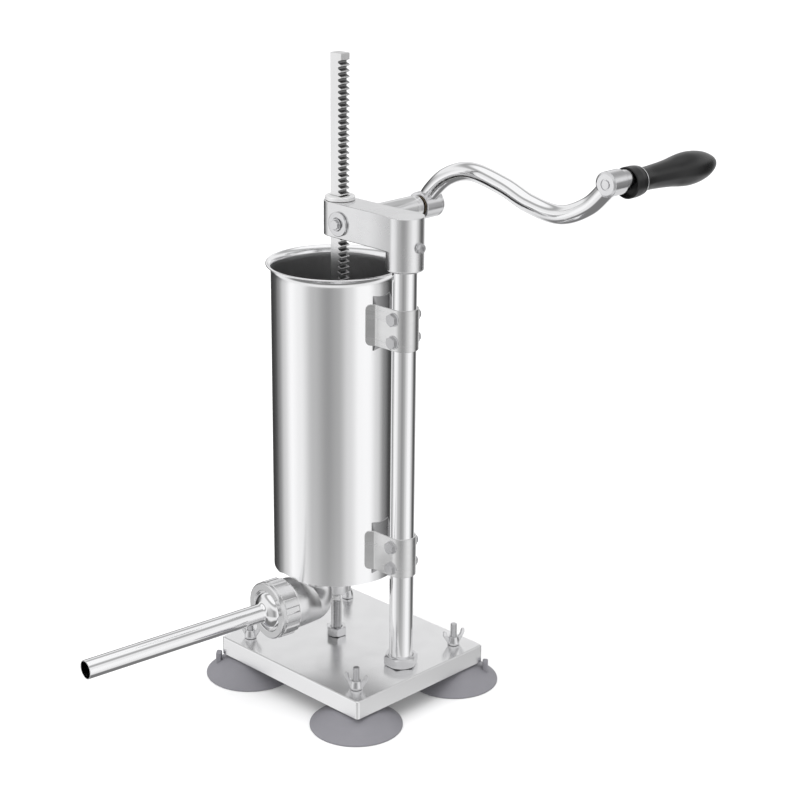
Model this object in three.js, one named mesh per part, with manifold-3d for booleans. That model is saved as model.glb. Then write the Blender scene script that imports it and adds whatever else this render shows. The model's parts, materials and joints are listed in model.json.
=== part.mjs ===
// A bench-top sausage stuffer: an open steel barrel clamped to a column on a plate with four suction
// feet. A crank turns a pinion, the pinion drives a toothed rack, and the rack pushes the piston down
// the barrel, so that the filling leaves through an elbow and a nozzle. Millimetres, +Z up. The origin
// is the centre of the base plate's top face, +X points from the barrel to the column, and the nozzle
// points along -Y.

import * as THREE from "three";
import { mergeVertices } from "three/addons/utils/BufferGeometryUtils.js";
import Module from "manifold-3d";

const wasm = await Module();
wasm.setup();

// ---- driving dimensions ----

const GAP = 0.3; // left between faces that touch
const DEG = Math.PI / 180;
const LARGE_ROUND = 48; // sides of the barrel and the piston
const ROUND = 24; // sides of the column, the nut and the feet
const SMALL_ROUND = 16; // sides of a screw, a pin or a bore
const BEND_STEPS = 14; // straight pieces in a half circle

const PLATE = { length: 180, width: 160, height: 17, sheet: 2.5, corner: 3 };
const CUP = { x: 70, y: 62, radius: 41, neck: 10 };
const DATUM = { radius: 7, height: 0.05 }; // a flat pad in the middle of the plate's top
const FEET_Z = -35; // the table
const STUD = { radius: 3, bottom: -20, top: 20.5 };
const WING = { base: 6, height: 8.5, span: 11, thickness: 2.2 };

const COLUMN = { x: 63.3, radius: 10.65, wall: 2.2, bottom: -13, top: 401 };
const COLUMN_NUT = { flats: 27, height: 9, turn: 30 * DEG };

const BARREL = { x: -20.5, radius: 56.4, wall: 1.2, bottom: 73.4, top: 355.9, lip: 60.9 };
const FLOOR = { bottom: 80, thickness: 2.5 };
const ARCH = 29.5; // radius of the notch over the outlet

const CLAMP = { height: 36.4, sheet: 1.5, fold: 41, lipX: 34.4, lipY: 17.6 };
const CLAMP_Z = { lower: 107, upper: 314.5 };
const CLAMP_BOLT = { offset: 10, radius: 3, flats: 10, head: 4.4 };

const OUTLET = { yaw: 6.3 * DEG, z: 45.8, leg: 17.5, pipe: 9.8, bore: 7.8, end: 70, face: 78.7 };
// The elbow's bend turns about a point just outside its inner side, and its lowest line is level.
const BEND = { clear: 1.5, z: 57, low: 23 };
// Beyond the bend, each [reach, highest, lowest] line of the elbow's outside, up to its shoulder.
const ELBOW_HORN = [
  [32, 58, 23],
  [36, 61.5, 23],
  [41, 65.5, 23],
  [48, 69, 23],
  [57.2, 69, 22.8],
  [58.1, 68.2, 23.6],
];
const NUT = { radius: 25.2, rib: 1, ribs: 12, opening: 18.5, thread: 21.7, back: 58.6 };
const NOZZLE = { radius: 8.4, wall: 0.8, tip: 263.7 };
const LUG = { radius: 11.5, bottom: 43.5 };
const SUPPORT = { radius: 5, bottom: -13, top: 40.8, flats: 17, nut: 8, turn: -8 * DEG };

const HEAD = { top: 412.1, armBottom: 382, sleeveBottom: 365.3, halfWidth: 14, sleeve: 16.2 };
const SET_SCREW_Z = 387;
const COLLAR = { radius: 13, height: 3.4 };

const MODULE = 1.5875; // of the rack and pinion, 16 diametral pitch
const PINION_TEETH = 10;
const PITCH = Math.PI * MODULE;
const PINION_RADIUS = (MODULE * PINION_TEETH) / 2;
const TOOTH = { addendum: MODULE, dedendum: 1.95, flank: Math.tan(20 * DEG), backlash: 0.3 };
const RACK = { x: -15, depth: 13, width: 10, bottom: 200, top: 537.2, plain: 9 };
const RACK_TIPS_X = RACK.x + RACK.depth / 2;
const PINION = { x: RACK_TIPS_X - TOOTH.addendum + PINION_RADIUS, z: 395, half: 6.5 };

const SHAFT = { journal: 5.6, rear: 6, front: -15, end: 104 };
const HOUSING = { radius: 9.9, end: 80.6 };
const FRONT_BUSH = { flange: 10.6, body: 9.5 };
const FRONT_BORE = 9.8;
const BUSH_LENGTH = 11;
const HUB = { radius: 12.3, start: 82.6, end: 104 };

const CRANK_Y = 93; // the plane of the bent arm
const CRANK_ROD = 8;
const CRANK_STEPS = 32;
// The arm's centre line, from the shaft: a hump, then a dip, then up to the handle.
const CRANK_LINE = [
  [0, 4],
  [7, 13.5],
  [25, 29],
  [51.2, 37.6],
  [91.3, 31],
  [121, 21.1],
  [154.5, 17.7],
  [183.8, 30.3],
  [202.5, 48],
];
// The spindle sits a little below the end boss's centre.
const HANDLE = {
  x: 206,
  z: 52.8,
  front: 85,
  boss: 10.7,
  bossLength: 17,
  shank: 9,
  pin: 4.2,
  drop: 2.7,
};
const FERRULE = { start: 112, end: 126, radius: 13.2, hollow: 12.1 };
const GRIP = {
  end: 232,
  profile: [
    [10.4, 126.3],
    [9.8, 140],
    [10.7, 155],
    [11.8, 170],
    [13.6, 182],
    [14.3, 193],
    [13.3, 206],
    [10.7, 216],
    [7.6, 224],
    [5.2, 229],
    [3.2, 231.4],
  ],
};

const PISTON = { radius: 54.2, bottom: 187, thickness: 12.7 };
const SEAL = { radius: 54.9, inner: 50, bottom: 190.5, height: 5 };
const VALVE = { x: -50, stem: 2.6, head: 7 };
const PISTON_BOLT = { x: RACK.x - 1.5, radius: 4, head: 8 };

// ---- materials ----

const paint = (color, roughness, metalness) =>
  new THREE.MeshStandardMaterial({ color, roughness, metalness });
const POLISHED = () => paint(0xd9dadb, 0.12, 1);
const PLATED = () => paint(0xcfd0d2, 0.25, 1);
const CAST = () => paint(0xd2d3d4, 0.32, 1);
const SHEET = () => paint(0xdcdcdc, 0.22, 1);
const RUBBER = () => paint(0x8f8f98, 0.75, 0);
const BLACK = () => paint(0x161616, 0.28, 0);
const SEAL_RUBBER = () => paint(0xe8e8e4, 0.6, 0);
const BRONZE = () => paint(0xb08d57, 0.35, 1);

// ---- solids ----

// A closed geometry as a manifold solid that faces out.
function solid(geometry) {
  const loose = geometry.index ? geometry.toNonIndexed() : geometry;
  const bare = new THREE.BufferGeometry();
  bare.setAttribute("position", loose.getAttribute("position"));
  const merged = mergeVertices(bare, 1e-4);
  const vertProperties = merged.attributes.position.array;
  const triVerts = new Uint32Array(merged.index.array);
  const made = new wasm.Manifold(new wasm.Mesh({ numProp: 3, vertProperties, triVerts }));
  if (made.volume() > 0) return made;
  triVerts.reverse();
  return new wasm.Manifold(new wasm.Mesh({ numProp: 3, vertProperties, triVerts }));
}

function geometryOf(body) {
  const { vertProperties, triVerts } = body.getMesh();
  const geometry = new THREE.BufferGeometry();
  geometry.setAttribute("position", new THREE.BufferAttribute(vertProperties, 3));
  geometry.setIndex(new THREE.BufferAttribute(triVerts, 1));
  geometry.computeVertexNormals();
  return geometry;
}

// The first geometry joined with the added ones, less the cut ones.
function shaped(first, { add = [], cut = [] }) {
  let body = solid(first);
  for (const piece of add) body = body.add(solid(piece));
  for (const piece of cut) body = body.subtract(solid(piece));
  return geometryOf(body);
}

function cylinderZ(radius, low, high, sides = SMALL_ROUND) {
  const made = new THREE.CylinderGeometry(radius, radius, high - low, sides);
  return made.rotateX(Math.PI / 2).translate(0, 0, (low + high) / 2);
}

function cylinderY(radius, low, high, sides = SMALL_ROUND) {
  const made = new THREE.CylinderGeometry(radius, radius, high - low, sides);
  return made.translate(0, (low + high) / 2, 0);
}

function cylinderX(radius, low, high, sides = SMALL_ROUND) {
  const made = new THREE.CylinderGeometry(radius, radius, high - low, sides);
  return made.rotateZ(-Math.PI / 2).translate((low + high) / 2, 0, 0);
}

function box(x, y, z) {
  const made = new THREE.BoxGeometry(x[1] - x[0], y[1] - y[0], z[1] - z[0]);
  return made.translate((x[0] + x[1]) / 2, (y[0] + y[1]) / 2, (z[0] + z[1]) / 2);
}

// A profile of [radius, height] points turned about Z.
function turnedZ(profile, sides = ROUND) {
  const points = profile.map(([radius, height]) => new THREE.Vector2(radius, height));
  return geometryOf(solid(new THREE.LatheGeometry(points, sides).rotateX(Math.PI / 2)));
}

// A profile of [radius, y] points turned about Y.
function turnedY(profile, sides = ROUND) {
  const points = profile.map(([radius, y]) => new THREE.Vector2(radius, y));
  return geometryOf(solid(new THREE.LatheGeometry(points, sides)));
}

function closedProfile(profile) {
  return [...profile, profile[0]];
}

function ringZ(inner, outer, low, high, sides = ROUND) {
  return turnedZ(closedProfile([[inner, low], [outer, low], [outer, high], [inner, high]]), sides);
}

function ringY(inner, outer, low, high) {
  return turnedY(closedProfile([[inner, low], [outer, low], [outer, high], [inner, high]]));
}

// A six-sided prism along Z, with a flat side facing +X.
function hexagonZ(flats, low, high) {
  return cylinderZ(flats / Math.sqrt(3), low, high, 6);
}

// An outline in the plane of X and Y, raised along Z.
function raised(outline, low, high) {
  const shape = new THREE.Shape(outline.map(([x, y]) => new THREE.Vector2(x, y)));
  const made = new THREE.ExtrudeGeometry(shape, { depth: high - low, bevelEnabled: false });
  return made.translate(0, 0, low);
}

// An outline in the plane of X and Z, stretched along Y.
function stretchedY(outline, low, high) {
  return raised(outline.map(([x, z]) => [x, -z]), low, high).rotateX(-Math.PI / 2);
}

function arcPoints(cx, cy, radius, from, to, steps) {
  return Array.from({ length: steps + 1 }, (_, i) => {
    const angle = from + ((to - from) * i) / steps;
    return [cx + radius * Math.cos(angle), cy + radius * Math.sin(angle)];
  });
}

function roundedRectangle(length, width, corner) {
  const x = length / 2 - corner;
  const y = width / 2 - corner;
  return [[x, y, 0], [-x, y, 90], [-x, -y, 180], [x, -y, 270]].flatMap(([cx, cy, start]) =>
    arcPoints(cx, cy, corner, start * DEG, (start + 90) * DEG, 4),
  );
}

// The outline of a sheet of even thickness that follows a line of points.
function sheetOutline(line, thickness) {
  const side = (sign) =>
    line.map(([x, y], i) => {
      const [ax, ay] = line[Math.max(i - 1, 0)];
      const [bx, by] = line[Math.min(i + 1, line.length - 1)];
      const length = Math.hypot(bx - ax, by - ay);
      const [nx, ny] = [-(by - ay) / length, (bx - ax) / length];
      const [px, py] = line[i === 0 ? 1 : i - 1];
      const edge = Math.hypot(x - px, y - py);
      const along = Math.abs(nx * (x - px) + ny * (y - py)) / edge;
      const offset = (sign * thickness) / 2 / Math.sqrt(Math.max(1 - along * along, 0.2));
      return [x + nx * offset, y + ny * offset];
    });
  return [...side(1), ...side(-1).reverse()];
}

// A body through round sections, each given by its centre, its direction and its radius.
function lofted(sections, sides = ROUND) {
  const points = [];
  const triangles = [];
  const up = new THREE.Vector3(1, 0, 0);
  for (const { centre, direction, radius } of sections) {
    const other = new THREE.Vector3().crossVectors(direction, up).normalize();
    for (let i = 0; i < sides; i++) {
      const angle = (2 * Math.PI * i) / sides;
      const point = centre.clone().addScaledVector(up, radius * Math.cos(angle));
      points.push(...point.addScaledVector(other, radius * Math.sin(angle)).toArray());
    }
  }
  const ends = [sections[0], sections[sections.length - 1]];
  for (const { centre } of ends) points.push(...centre.toArray());
  const firstCentre = sections.length * sides;
  const lastRing = (sections.length - 1) * sides;
  for (let i = 0; i < sides; i++) {
    const next = (i + 1) % sides;
    for (let ring = 0; ring < lastRing; ring += sides) {
      const [a, b] = [ring + i, ring + next];
      triangles.push(a, b, a + sides, b, b + sides, a + sides);
    }
    triangles.push(firstCentre, next, i);
    triangles.push(firstCentre + 1, lastRing + i, lastRing + next);
  }
  const geometry = new THREE.BufferGeometry();
  geometry.setAttribute("position", new THREE.BufferAttribute(new Float32Array(points), 3));
  geometry.setIndex(triangles);
  return geometryOf(solid(geometry));
}

// ---- the assembly ----

const stuffer = new THREE.Group();

function place(parent, name, geometry, material, position = [0, 0, 0], turn = 0) {
  const mesh = new THREE.Mesh(geometry, material);
  mesh.name = name;
  mesh.position.set(...position);
  mesh.rotation.z = turn;
  parent.add(mesh);
}

const CORNERS = [
  ["front_left", -1, -1, 200 * DEG],
  ["front_right", 1, -1, 25 * DEG],
  ["rear_left", -1, 1, 120 * DEG],
  ["rear_right", 1, 1, 70 * DEG],
];

function addBasePlate() {
  const inside = roundedRectangle(PLATE.length - 4, PLATE.width - 4, PLATE.corner - 1);
  const holes = CORNERS.map(([, sx, sy]) =>
    cylinderZ(STUD.radius + GAP, -5, 1).translate(sx * CUP.x, sy * CUP.y, 0),
  );
  const plate = shaped(
    raised(roundedRectangle(PLATE.length, PLATE.width, PLATE.corner), -PLATE.height, -DATUM.height),
    {
      add: [cylinderZ(DATUM.radius, -1, 0)],
      cut: [
        raised(inside, -PLATE.height - 1, -PLATE.sheet),
        ...holes,
        cylinderZ(COLUMN.radius + GAP, -5, 1).translate(COLUMN.x, 0, 0),
        cylinderZ(SUPPORT.radius + GAP, -5, 1).translate(BARREL.x, 0, 0),
      ],
    },
  );
  place(stuffer, "base_plate", plate, POLISHED());
}

// A foot: a shallow rubber bell with a pull tab, moulded round a threaded stud.
function addFoot([corner, sx, sy, turn]) {
  const neckTop = -PLATE.sheet - GAP;
  const bell = turnedZ([
    [0, -24],
    [16, -28],
    [36, -34],
    [38.5, FEET_Z],
    [CUP.radius, FEET_Z],
    [CUP.radius, FEET_Z + 1.4],
    [36, -29],
    [28, -23.4],
    [20, -19.2],
    [CUP.neck + 2, -17],
    [CUP.neck, -15],
    [CUP.neck, neckTop],
    [STUD.radius + GAP, neckTop],
    [STUD.radius + GAP, STUD.bottom - GAP],
    [0, STUD.bottom - GAP],
  ]);
  const tab = box([28.5, 31.5], [-4, 4], [-27, -15.5]).rotateZ(Math.atan2(sy, sx));
  const cup = shaped(bell, { add: [tab] });
  place(stuffer, `suction_cup_${corner}`, cup, RUBBER(), [sx * CUP.x, sy * CUP.y, 0]);
  const stud = cylinderZ(STUD.radius, STUD.bottom, STUD.top);
  place(stuffer, `cup_stud_${corner}`, stud, PLATED(), [sx * CUP.x, sy * CUP.y, 0]);
  place(stuffer, `wing_nut_${corner}`, wingNut(), PLATED(), [sx * CUP.x, sy * CUP.y, GAP], turn);
}

function wingNut() {
  const { base, height, span, thickness } = WING;
  const wing = [[2, 2], [span - 3, 10], [span - 2.5, 15], [span, 16], [span + 1.5, 12], [5.5, 1.5]];
  const pair = [1, -1].map((side) =>
    stretchedY(wing.map(([x, z]) => [side * x, z]), -thickness / 2, thickness / 2),
  );
  const body = turnedZ([[0, 0], [base, 0], [base, 2], [4.4, height], [0, height]], SMALL_ROUND);
  return shaped(body, { add: pair, cut: [cylinderZ(STUD.radius + GAP, -1, 20)] });
}

function addColumn() {
  const cross = Object.values(CLAMP_Z).flatMap((z) =>
    [-1, 1].map((side) =>
      cylinderY(CLAMP_BOLT.radius + GAP, -20, 20).translate(0, 0, z + side * CLAMP_BOLT.offset),
    ),
  );
  const inner = COLUMN.radius - COLUMN.wall;
  const tube = shaped(ringZ(inner, COLUMN.radius, COLUMN.bottom, COLUMN.top), { cut: cross });
  place(stuffer, "column", tube, POLISHED(), [COLUMN.x, 0, 0]);
  const bore = () => cylinderZ(COLUMN.radius + GAP, -30, 30, ROUND);
  const { flats, height, turn } = COLUMN_NUT;
  const nut = shaped(hexagonZ(flats, 0, height), { cut: [bore()] });
  const under = -PLATE.sheet - GAP;
  const washer = ringZ(COLUMN.radius + GAP, 17, under - 1.6, under);
  place(stuffer, "column_foot_nut", nut, PLATED(), [COLUMN.x, 0, GAP], turn);
  place(stuffer, "column_washer", washer, PLATED(), [COLUMN.x, 0, 0]);
  const lockZ = under - 1.6 - GAP - height + 1;
  const lock = shaped(hexagonZ(flats, 0, height - 1), { cut: [bore()] });
  place(stuffer, "column_lock_nut", lock, PLATED(), [COLUMN.x, 0, lockZ]);
}

function addBarrel() {
  const { x, radius, wall, bottom, top, lip } = BARREL;
  const inner = radius - wall;
  const shell = turnedZ(
    closedProfile([
      [inner, bottom],
      [radius, bottom],
      [radius, top - 8],
      [radius + 1.2, top - 4],
      [lip, top - 1],
      [lip, top],
      [lip - 1, top],
      [inner + 1, top - 3.2],
      [inner, top - 7.5],
    ]),
    LARGE_ROUND,
  );
  const arch = cylinderY(ARCH, -80, 0, LARGE_ROUND).translate(0, 0, OUTLET.z).rotateZ(-OUTLET.yaw);
  place(stuffer, "barrel", shaped(shell, { cut: [arch] }), POLISHED(), [x, 0, 0]);
  const plate = shaped(
    cylinderZ(inner - GAP, FLOOR.bottom, FLOOR.bottom + FLOOR.thickness, LARGE_ROUND),
    { cut: [cylinderZ(OUTLET.bore, 0, 120).translate(0, -OUTLET.leg, 0).rotateZ(-OUTLET.yaw)] },
  );
  place(stuffer, "barrel_floor", plate, SHEET(), [x, 0, 0]);
}

// A strap bent round the column, with two legs that flare out where they meet the barrel.
function addClamp(level, z) {
  const { height, sheet, fold, lipX, lipY } = CLAMP;
  const middle = COLUMN.radius + 0.35 + sheet / 2;
  const line = [
    [lipX, -lipY],
    [fold, -middle],
    ...arcPoints(COLUMN.x, 0, middle, -90 * DEG, 90 * DEG, BEND_STEPS),
    [fold, middle],
    [lipX, lipY],
  ];
  const holes = [-1, 1].map((side) =>
    cylinderY(CLAMP_BOLT.radius + GAP, -20, 20).translate(COLUMN.x, 0, side * CLAMP_BOLT.offset),
  );
  const strap = shaped(raised(sheetOutline(line, sheet), -height / 2, height / 2), { cut: holes });
  place(stuffer, `clamp_strap_${level}`, strap, SHEET(), [0, 0, z]);

  const reach = BARREL.radius + GAP + 0.75;
  const spread = 9.8;
  const bracketLine = [
    [49, -spread],
    ...arcPoints(BARREL.x, 0, reach, -Math.asin(spread / reach), Math.asin(spread / reach), 8),
    [49, spread],
  ];
  const side = [[34, -25], [38, -25], [45, -17], [50, -17], [50, 17], [45, 17], [38, 25], [34, 25]];
  const channel = solid(raised(sheetOutline(bracketLine, 1.3), -25, 25));
  const bracket = geometryOf(channel.intersect(solid(stretchedY(side, -15, 15))));
  place(stuffer, `barrel_bracket_${level}`, bracket, SHEET(), [0, 0, z]);

  for (const [row, sign] of [["top", 1], ["bottom", -1]]) {
    const position = [COLUMN.x, 0, z + sign * CLAMP_BOLT.offset];
    const face = middle + sheet / 2 + GAP;
    const bolt = shaped(cylinderY(CLAMP_BOLT.radius, -face - 1, face + 7), {
      add: [hexagonY(CLAMP_BOLT.flats, -face - CLAMP_BOLT.head, -face)],
    });
    const nut = shaped(hexagonY(CLAMP_BOLT.flats, face, face + 5), {
      cut: [cylinderY(CLAMP_BOLT.radius + GAP, 0, 40)],
    });
    place(stuffer, `clamp_bolt_${level}_${row}`, bolt, PLATED(), position);
    place(stuffer, `clamp_nut_${level}_${row}`, nut, PLATED(), position);
  }
}

function hexagonY(flats, low, high) {
  return cylinderY(flats / Math.sqrt(3), low, high, 6);
}

// The outlet's own frame has its axis along -Y, and is turned about the barrel's axis.
function addOutlet() {
  const outlet = new THREE.Group();
  outlet.position.set(BARREL.x, 0, 0);
  outlet.rotation.z = -OUTLET.yaw;
  stuffer.add(outlet);
  place(outlet, "discharge_elbow", elbow(), CAST());
  place(outlet, "coupling_nut", couplingNut(), CAST(), [0, 0, OUTLET.z]);
  const seat = OUTLET.end + GAP;
  const gasket = ringY(14.5, 19.5, -seat - 1.6, -seat);
  place(outlet, "nozzle_gasket", gasket, SEAL_RUBBER(), [0, 0, OUTLET.z]);
  place(outlet, "nozzle", nozzle(seat + 1.6 + GAP), POLISHED(), [0, 0, OUTLET.z]);
}

// The elbow drops from the floor and widens through its bend into the threaded end. Its lowest line stays
// nearly level. A lug under the barrel's axis takes the support screw.
function elbow() {
  const { clear, z: pivotZ, low } = BEND;
  const pivotY = -OUTLET.leg - OUTLET.pipe - clear;
  const sections = (shrink, top, end) => {
    const list = [section(0, -OUTLET.leg, top, OUTLET.pipe - shrink, -90)];
    for (let turn = 0; turn <= 90; turn += 15) {
      const share = turn / 90;
      const narrow = 2 * OUTLET.pipe + clear;
      const far = narrow + (pivotZ - low - narrow) * share * share * (3 - 2 * share);
      const middle = (clear + far) / 2;
      const y = pivotY + middle * Math.cos(turn * DEG);
      const z = pivotZ - middle * Math.sin(turn * DEG);
      list.push(section(0, y, z, (far - clear) / 2 - shrink, turn - 90));
    }
    for (const [reach, highest, lowest] of ELBOW_HORN) {
      list.push(section(0, -reach, (highest + lowest) / 2, (highest - lowest) / 2 - shrink, 0));
    }
    list.push(section(0, -ELBOW_HORN.at(-1)[0] - 0.1, OUTLET.z, NUT.thread - GAP - shrink, 0));
    list.push(section(0, -end, OUTLET.z, NUT.thread - GAP - shrink, 0));
    return list;
  };
  const outside = lofted(sections(0, FLOOR.bottom - GAP, OUTLET.end));
  const inside = lofted(sections(OUTLET.pipe - OUTLET.bore, FLOOR.bottom + 5, OUTLET.end + 1));
  const lug = cylinderZ(LUG.radius, LUG.bottom, FLOOR.bottom - GAP, ROUND);
  return shaped(outside, { add: [lug], cut: [inside] });
}

function section(x, y, z, radius, angle) {
  const direction = new THREE.Vector3(0, -Math.cos(angle * DEG), Math.sin(angle * DEG));
  return { centre: new THREE.Vector3(x, y, z), direction, radius };
}

function couplingNut() {
  const { radius, rib, ribs, opening, thread, back } = NUT;
  const body = ringY(thread + GAP, radius, -OUTLET.face + 3, -back);
  const front = turnedY(
    closedProfile([
      [opening, -OUTLET.face],
      [radius - 0.4, -OUTLET.face],
      [radius + 0.6, -OUTLET.face + 1],
      [radius + 0.6, -OUTLET.face + 4],
      [opening, -OUTLET.face + 4],
    ]),
  );
  const pads = Array.from({ length: ribs }, (_, i) =>
    box([-4, 4], [-OUTLET.face + 3, -back], [radius - 1, radius + rib]).rotateY(i * 2 * Math.PI / ribs),
  );
  return shaped(body, { add: [front, ...pads] });
}

function nozzle(seat) {
  const { radius, wall, tip } = NOZZLE;
  const inner = radius - wall;
  return turnedY(
    closedProfile([
      [14, -seat],
      [20.5, -seat],
      [20.5, -seat - 1.8],
      [16.4, -seat - 1.8],
      [15.4, -OUTLET.face],
      [11.5, -OUTLET.face - 2.4],
      [radius, -OUTLET.face - 5],
      [radius, -tip],
      [inner, -tip],
      [inner, -OUTLET.face - 4.4],
      [10.6, -OUTLET.face - 1.6],
      [14, -OUTLET.face + 1],
    ]),
  );
}

function addSupport() {
  const { radius, bottom, top, flats, nut, turn } = SUPPORT;
  const shank = [[0, bottom], [radius - 1, bottom], [radius, bottom + 1], [radius, top - 2]];
  const screw = turnedZ([...shank, [radius - 1.5, top], [0, top]], SMALL_ROUND);
  place(stuffer, "support_screw", screw, PLATED(), [BARREL.x, 0, 0]);
  const hexagon = hexagonZ(flats, 0, nut);
  const body = shaped(hexagon, { cut: [cylinderZ(radius + GAP, -1, nut + 1)] });
  place(stuffer, "support_nut", body, PLATED(), [BARREL.x, 0, GAP], turn);
}

function addHead() {
  const { top, armBottom, sleeveBottom, halfWidth, sleeve } = HEAD;
  const plan = [
    ...arcPoints(RACK.x, 0, halfWidth, 90 * DEG, 270 * DEG, BEND_STEPS),
    [COLUMN.x, -halfWidth],
    [COLUMN.x, halfWidth],
  ];
  const columnBore = cylinderZ(COLUMN.radius + GAP, sleeveBottom - 5, COLUMN.top + GAP, ROUND);
  const slot = slotOutline(0.5);
  const gearPocket = cylinderY(FRONT_BORE, -halfWidth - 1, PINION.half + 1, ROUND);
  const shaftBore = cylinderY(SHAFT.rear + GAP, 0, halfWidth + 1);
  const casting = shaped(raised(plan, armBottom, top), {
    add: [cylinderZ(sleeve, sleeveBottom, top, ROUND).translate(COLUMN.x, 0, 0)],
    cut: [
      columnBore.translate(COLUMN.x, 0, 0),
      raised(slot, armBottom - 1, top + 1),
      gearPocket.translate(PINION.x, 0, PINION.z),
      shaftBore.translate(PINION.x, 0, PINION.z),
      cylinderX(3 + GAP, COLUMN.x, COLUMN.x + 20).translate(0, 0, SET_SCREW_Z),
    ],
  });
  place(stuffer, "head_casting", casting, CAST());

  const seat = COLUMN.x + sleeve + GAP;
  const tip = COLUMN.x + COLUMN.radius + GAP;
  const head = cylinderX(10 / Math.sqrt(3), seat, seat + 4.2, 6);
  const screw = shaped(cylinderX(3, tip, seat + 1), { add: [head] });
  place(stuffer, "head_set_screw", screw, PLATED(), [0, 0, SET_SCREW_Z]);

  const collar = shaped(cylinderZ(COLLAR.radius, 0, COLLAR.height, ROUND).translate(RACK.x, 0, 0), {
    cut: [raised(slot, -1, 20)],
  });
  place(stuffer, "rack_guide_collar", collar, CAST(), [0, 0, top + GAP]);
}

function slotOutline(room) {
  const x = [RACK.x - RACK.depth / 2 - room, RACK.x + RACK.depth / 2 + room];
  const y = RACK.width / 2 + room;
  return [[x[0], -y], [x[1], -y], [x[1], y], [x[0], y]];
}

function addShaftHousing() {
  const { radius, end } = HOUSING;
  const start = HEAD.halfWidth + GAP;
  const bore = SHAFT.rear + 0.4;
  const housing = turnedY(
    closedProfile([
      [bore, start],
      [radius, start],
      [radius, end],
      [8.3, end],
      [8.3, end - BUSH_LENGTH],
      [bore, end - BUSH_LENGTH],
    ]),
  );
  const axis = [PINION.x, 0, PINION.z];
  place(stuffer, "shaft_housing", housing, CAST(), axis);
  const rear = turnedY(
    closedProfile([
      [SHAFT.rear + 0.1, end - BUSH_LENGTH + GAP],
      [8, end - BUSH_LENGTH + GAP],
      [8, end + GAP],
      [9.7, end + GAP],
      [9.7, end + 1.3],
      [SHAFT.rear + 0.1, end + 1.3],
    ]),
  );
  place(stuffer, "rear_bush", rear, BRONZE(), axis);
  const face = -HEAD.halfWidth - GAP;
  const front = turnedY(
    closedProfile([
      [SHAFT.journal + 0.1, face - 2],
      [FRONT_BUSH.flange, face - 2],
      [FRONT_BUSH.flange, face],
      [FRONT_BUSH.body, face],
      [FRONT_BUSH.body, -PINION.half - 1.3],
      [SHAFT.journal + 0.1, -PINION.half - 1.3],
    ]),
  );
  place(stuffer, "front_bush", front, PLATED(), axis);
}

// One rack tooth's section, pointing along +X from its root line, with its pitch line at x = 0.
function toothOutline(extra, deeper) {
  const half = PITCH / 4 - TOOTH.backlash / 2 + extra;
  const tip = TOOTH.addendum + deeper;
  const root = TOOTH.dedendum + 1.5;
  return [
    [-root, -half - root * TOOTH.flank],
    [tip, -half + tip * TOOTH.flank],
    [tip, half - tip * TOOTH.flank],
    [-root, half + root * TOOTH.flank],
  ];
}

// The pinion's teeth are cut by the rack's tooth, a little enlarged, as it rolls past.
function pinionTeeth() {
  const steps = 7;
  let space = null;
  for (let i = -steps; i <= steps; i++) {
    const travel = (1.3 * PITCH * i) / steps;
    const cutter = stretchedY(toothOutline(0.15, 0.3), -PINION.half - 1, PINION.half + 1);
    cutter.translate(-PINION_RADIUS, 0, travel).rotateY(-travel / PINION_RADIUS);
    space = space ? space.add(solid(cutter)) : solid(cutter);
  }
  const tip = PINION_RADIUS + TOOTH.dedendum - 0.4;
  const spaces = Array.from({ length: PINION_TEETH }, (_, i) =>
    geometryOf(space).rotateY(((i + 0.5) * 2 * Math.PI) / PINION_TEETH),
  );
  return shaped(cylinderY(tip, -PINION.half, PINION.half, ROUND), { cut: spaces });
}

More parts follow.
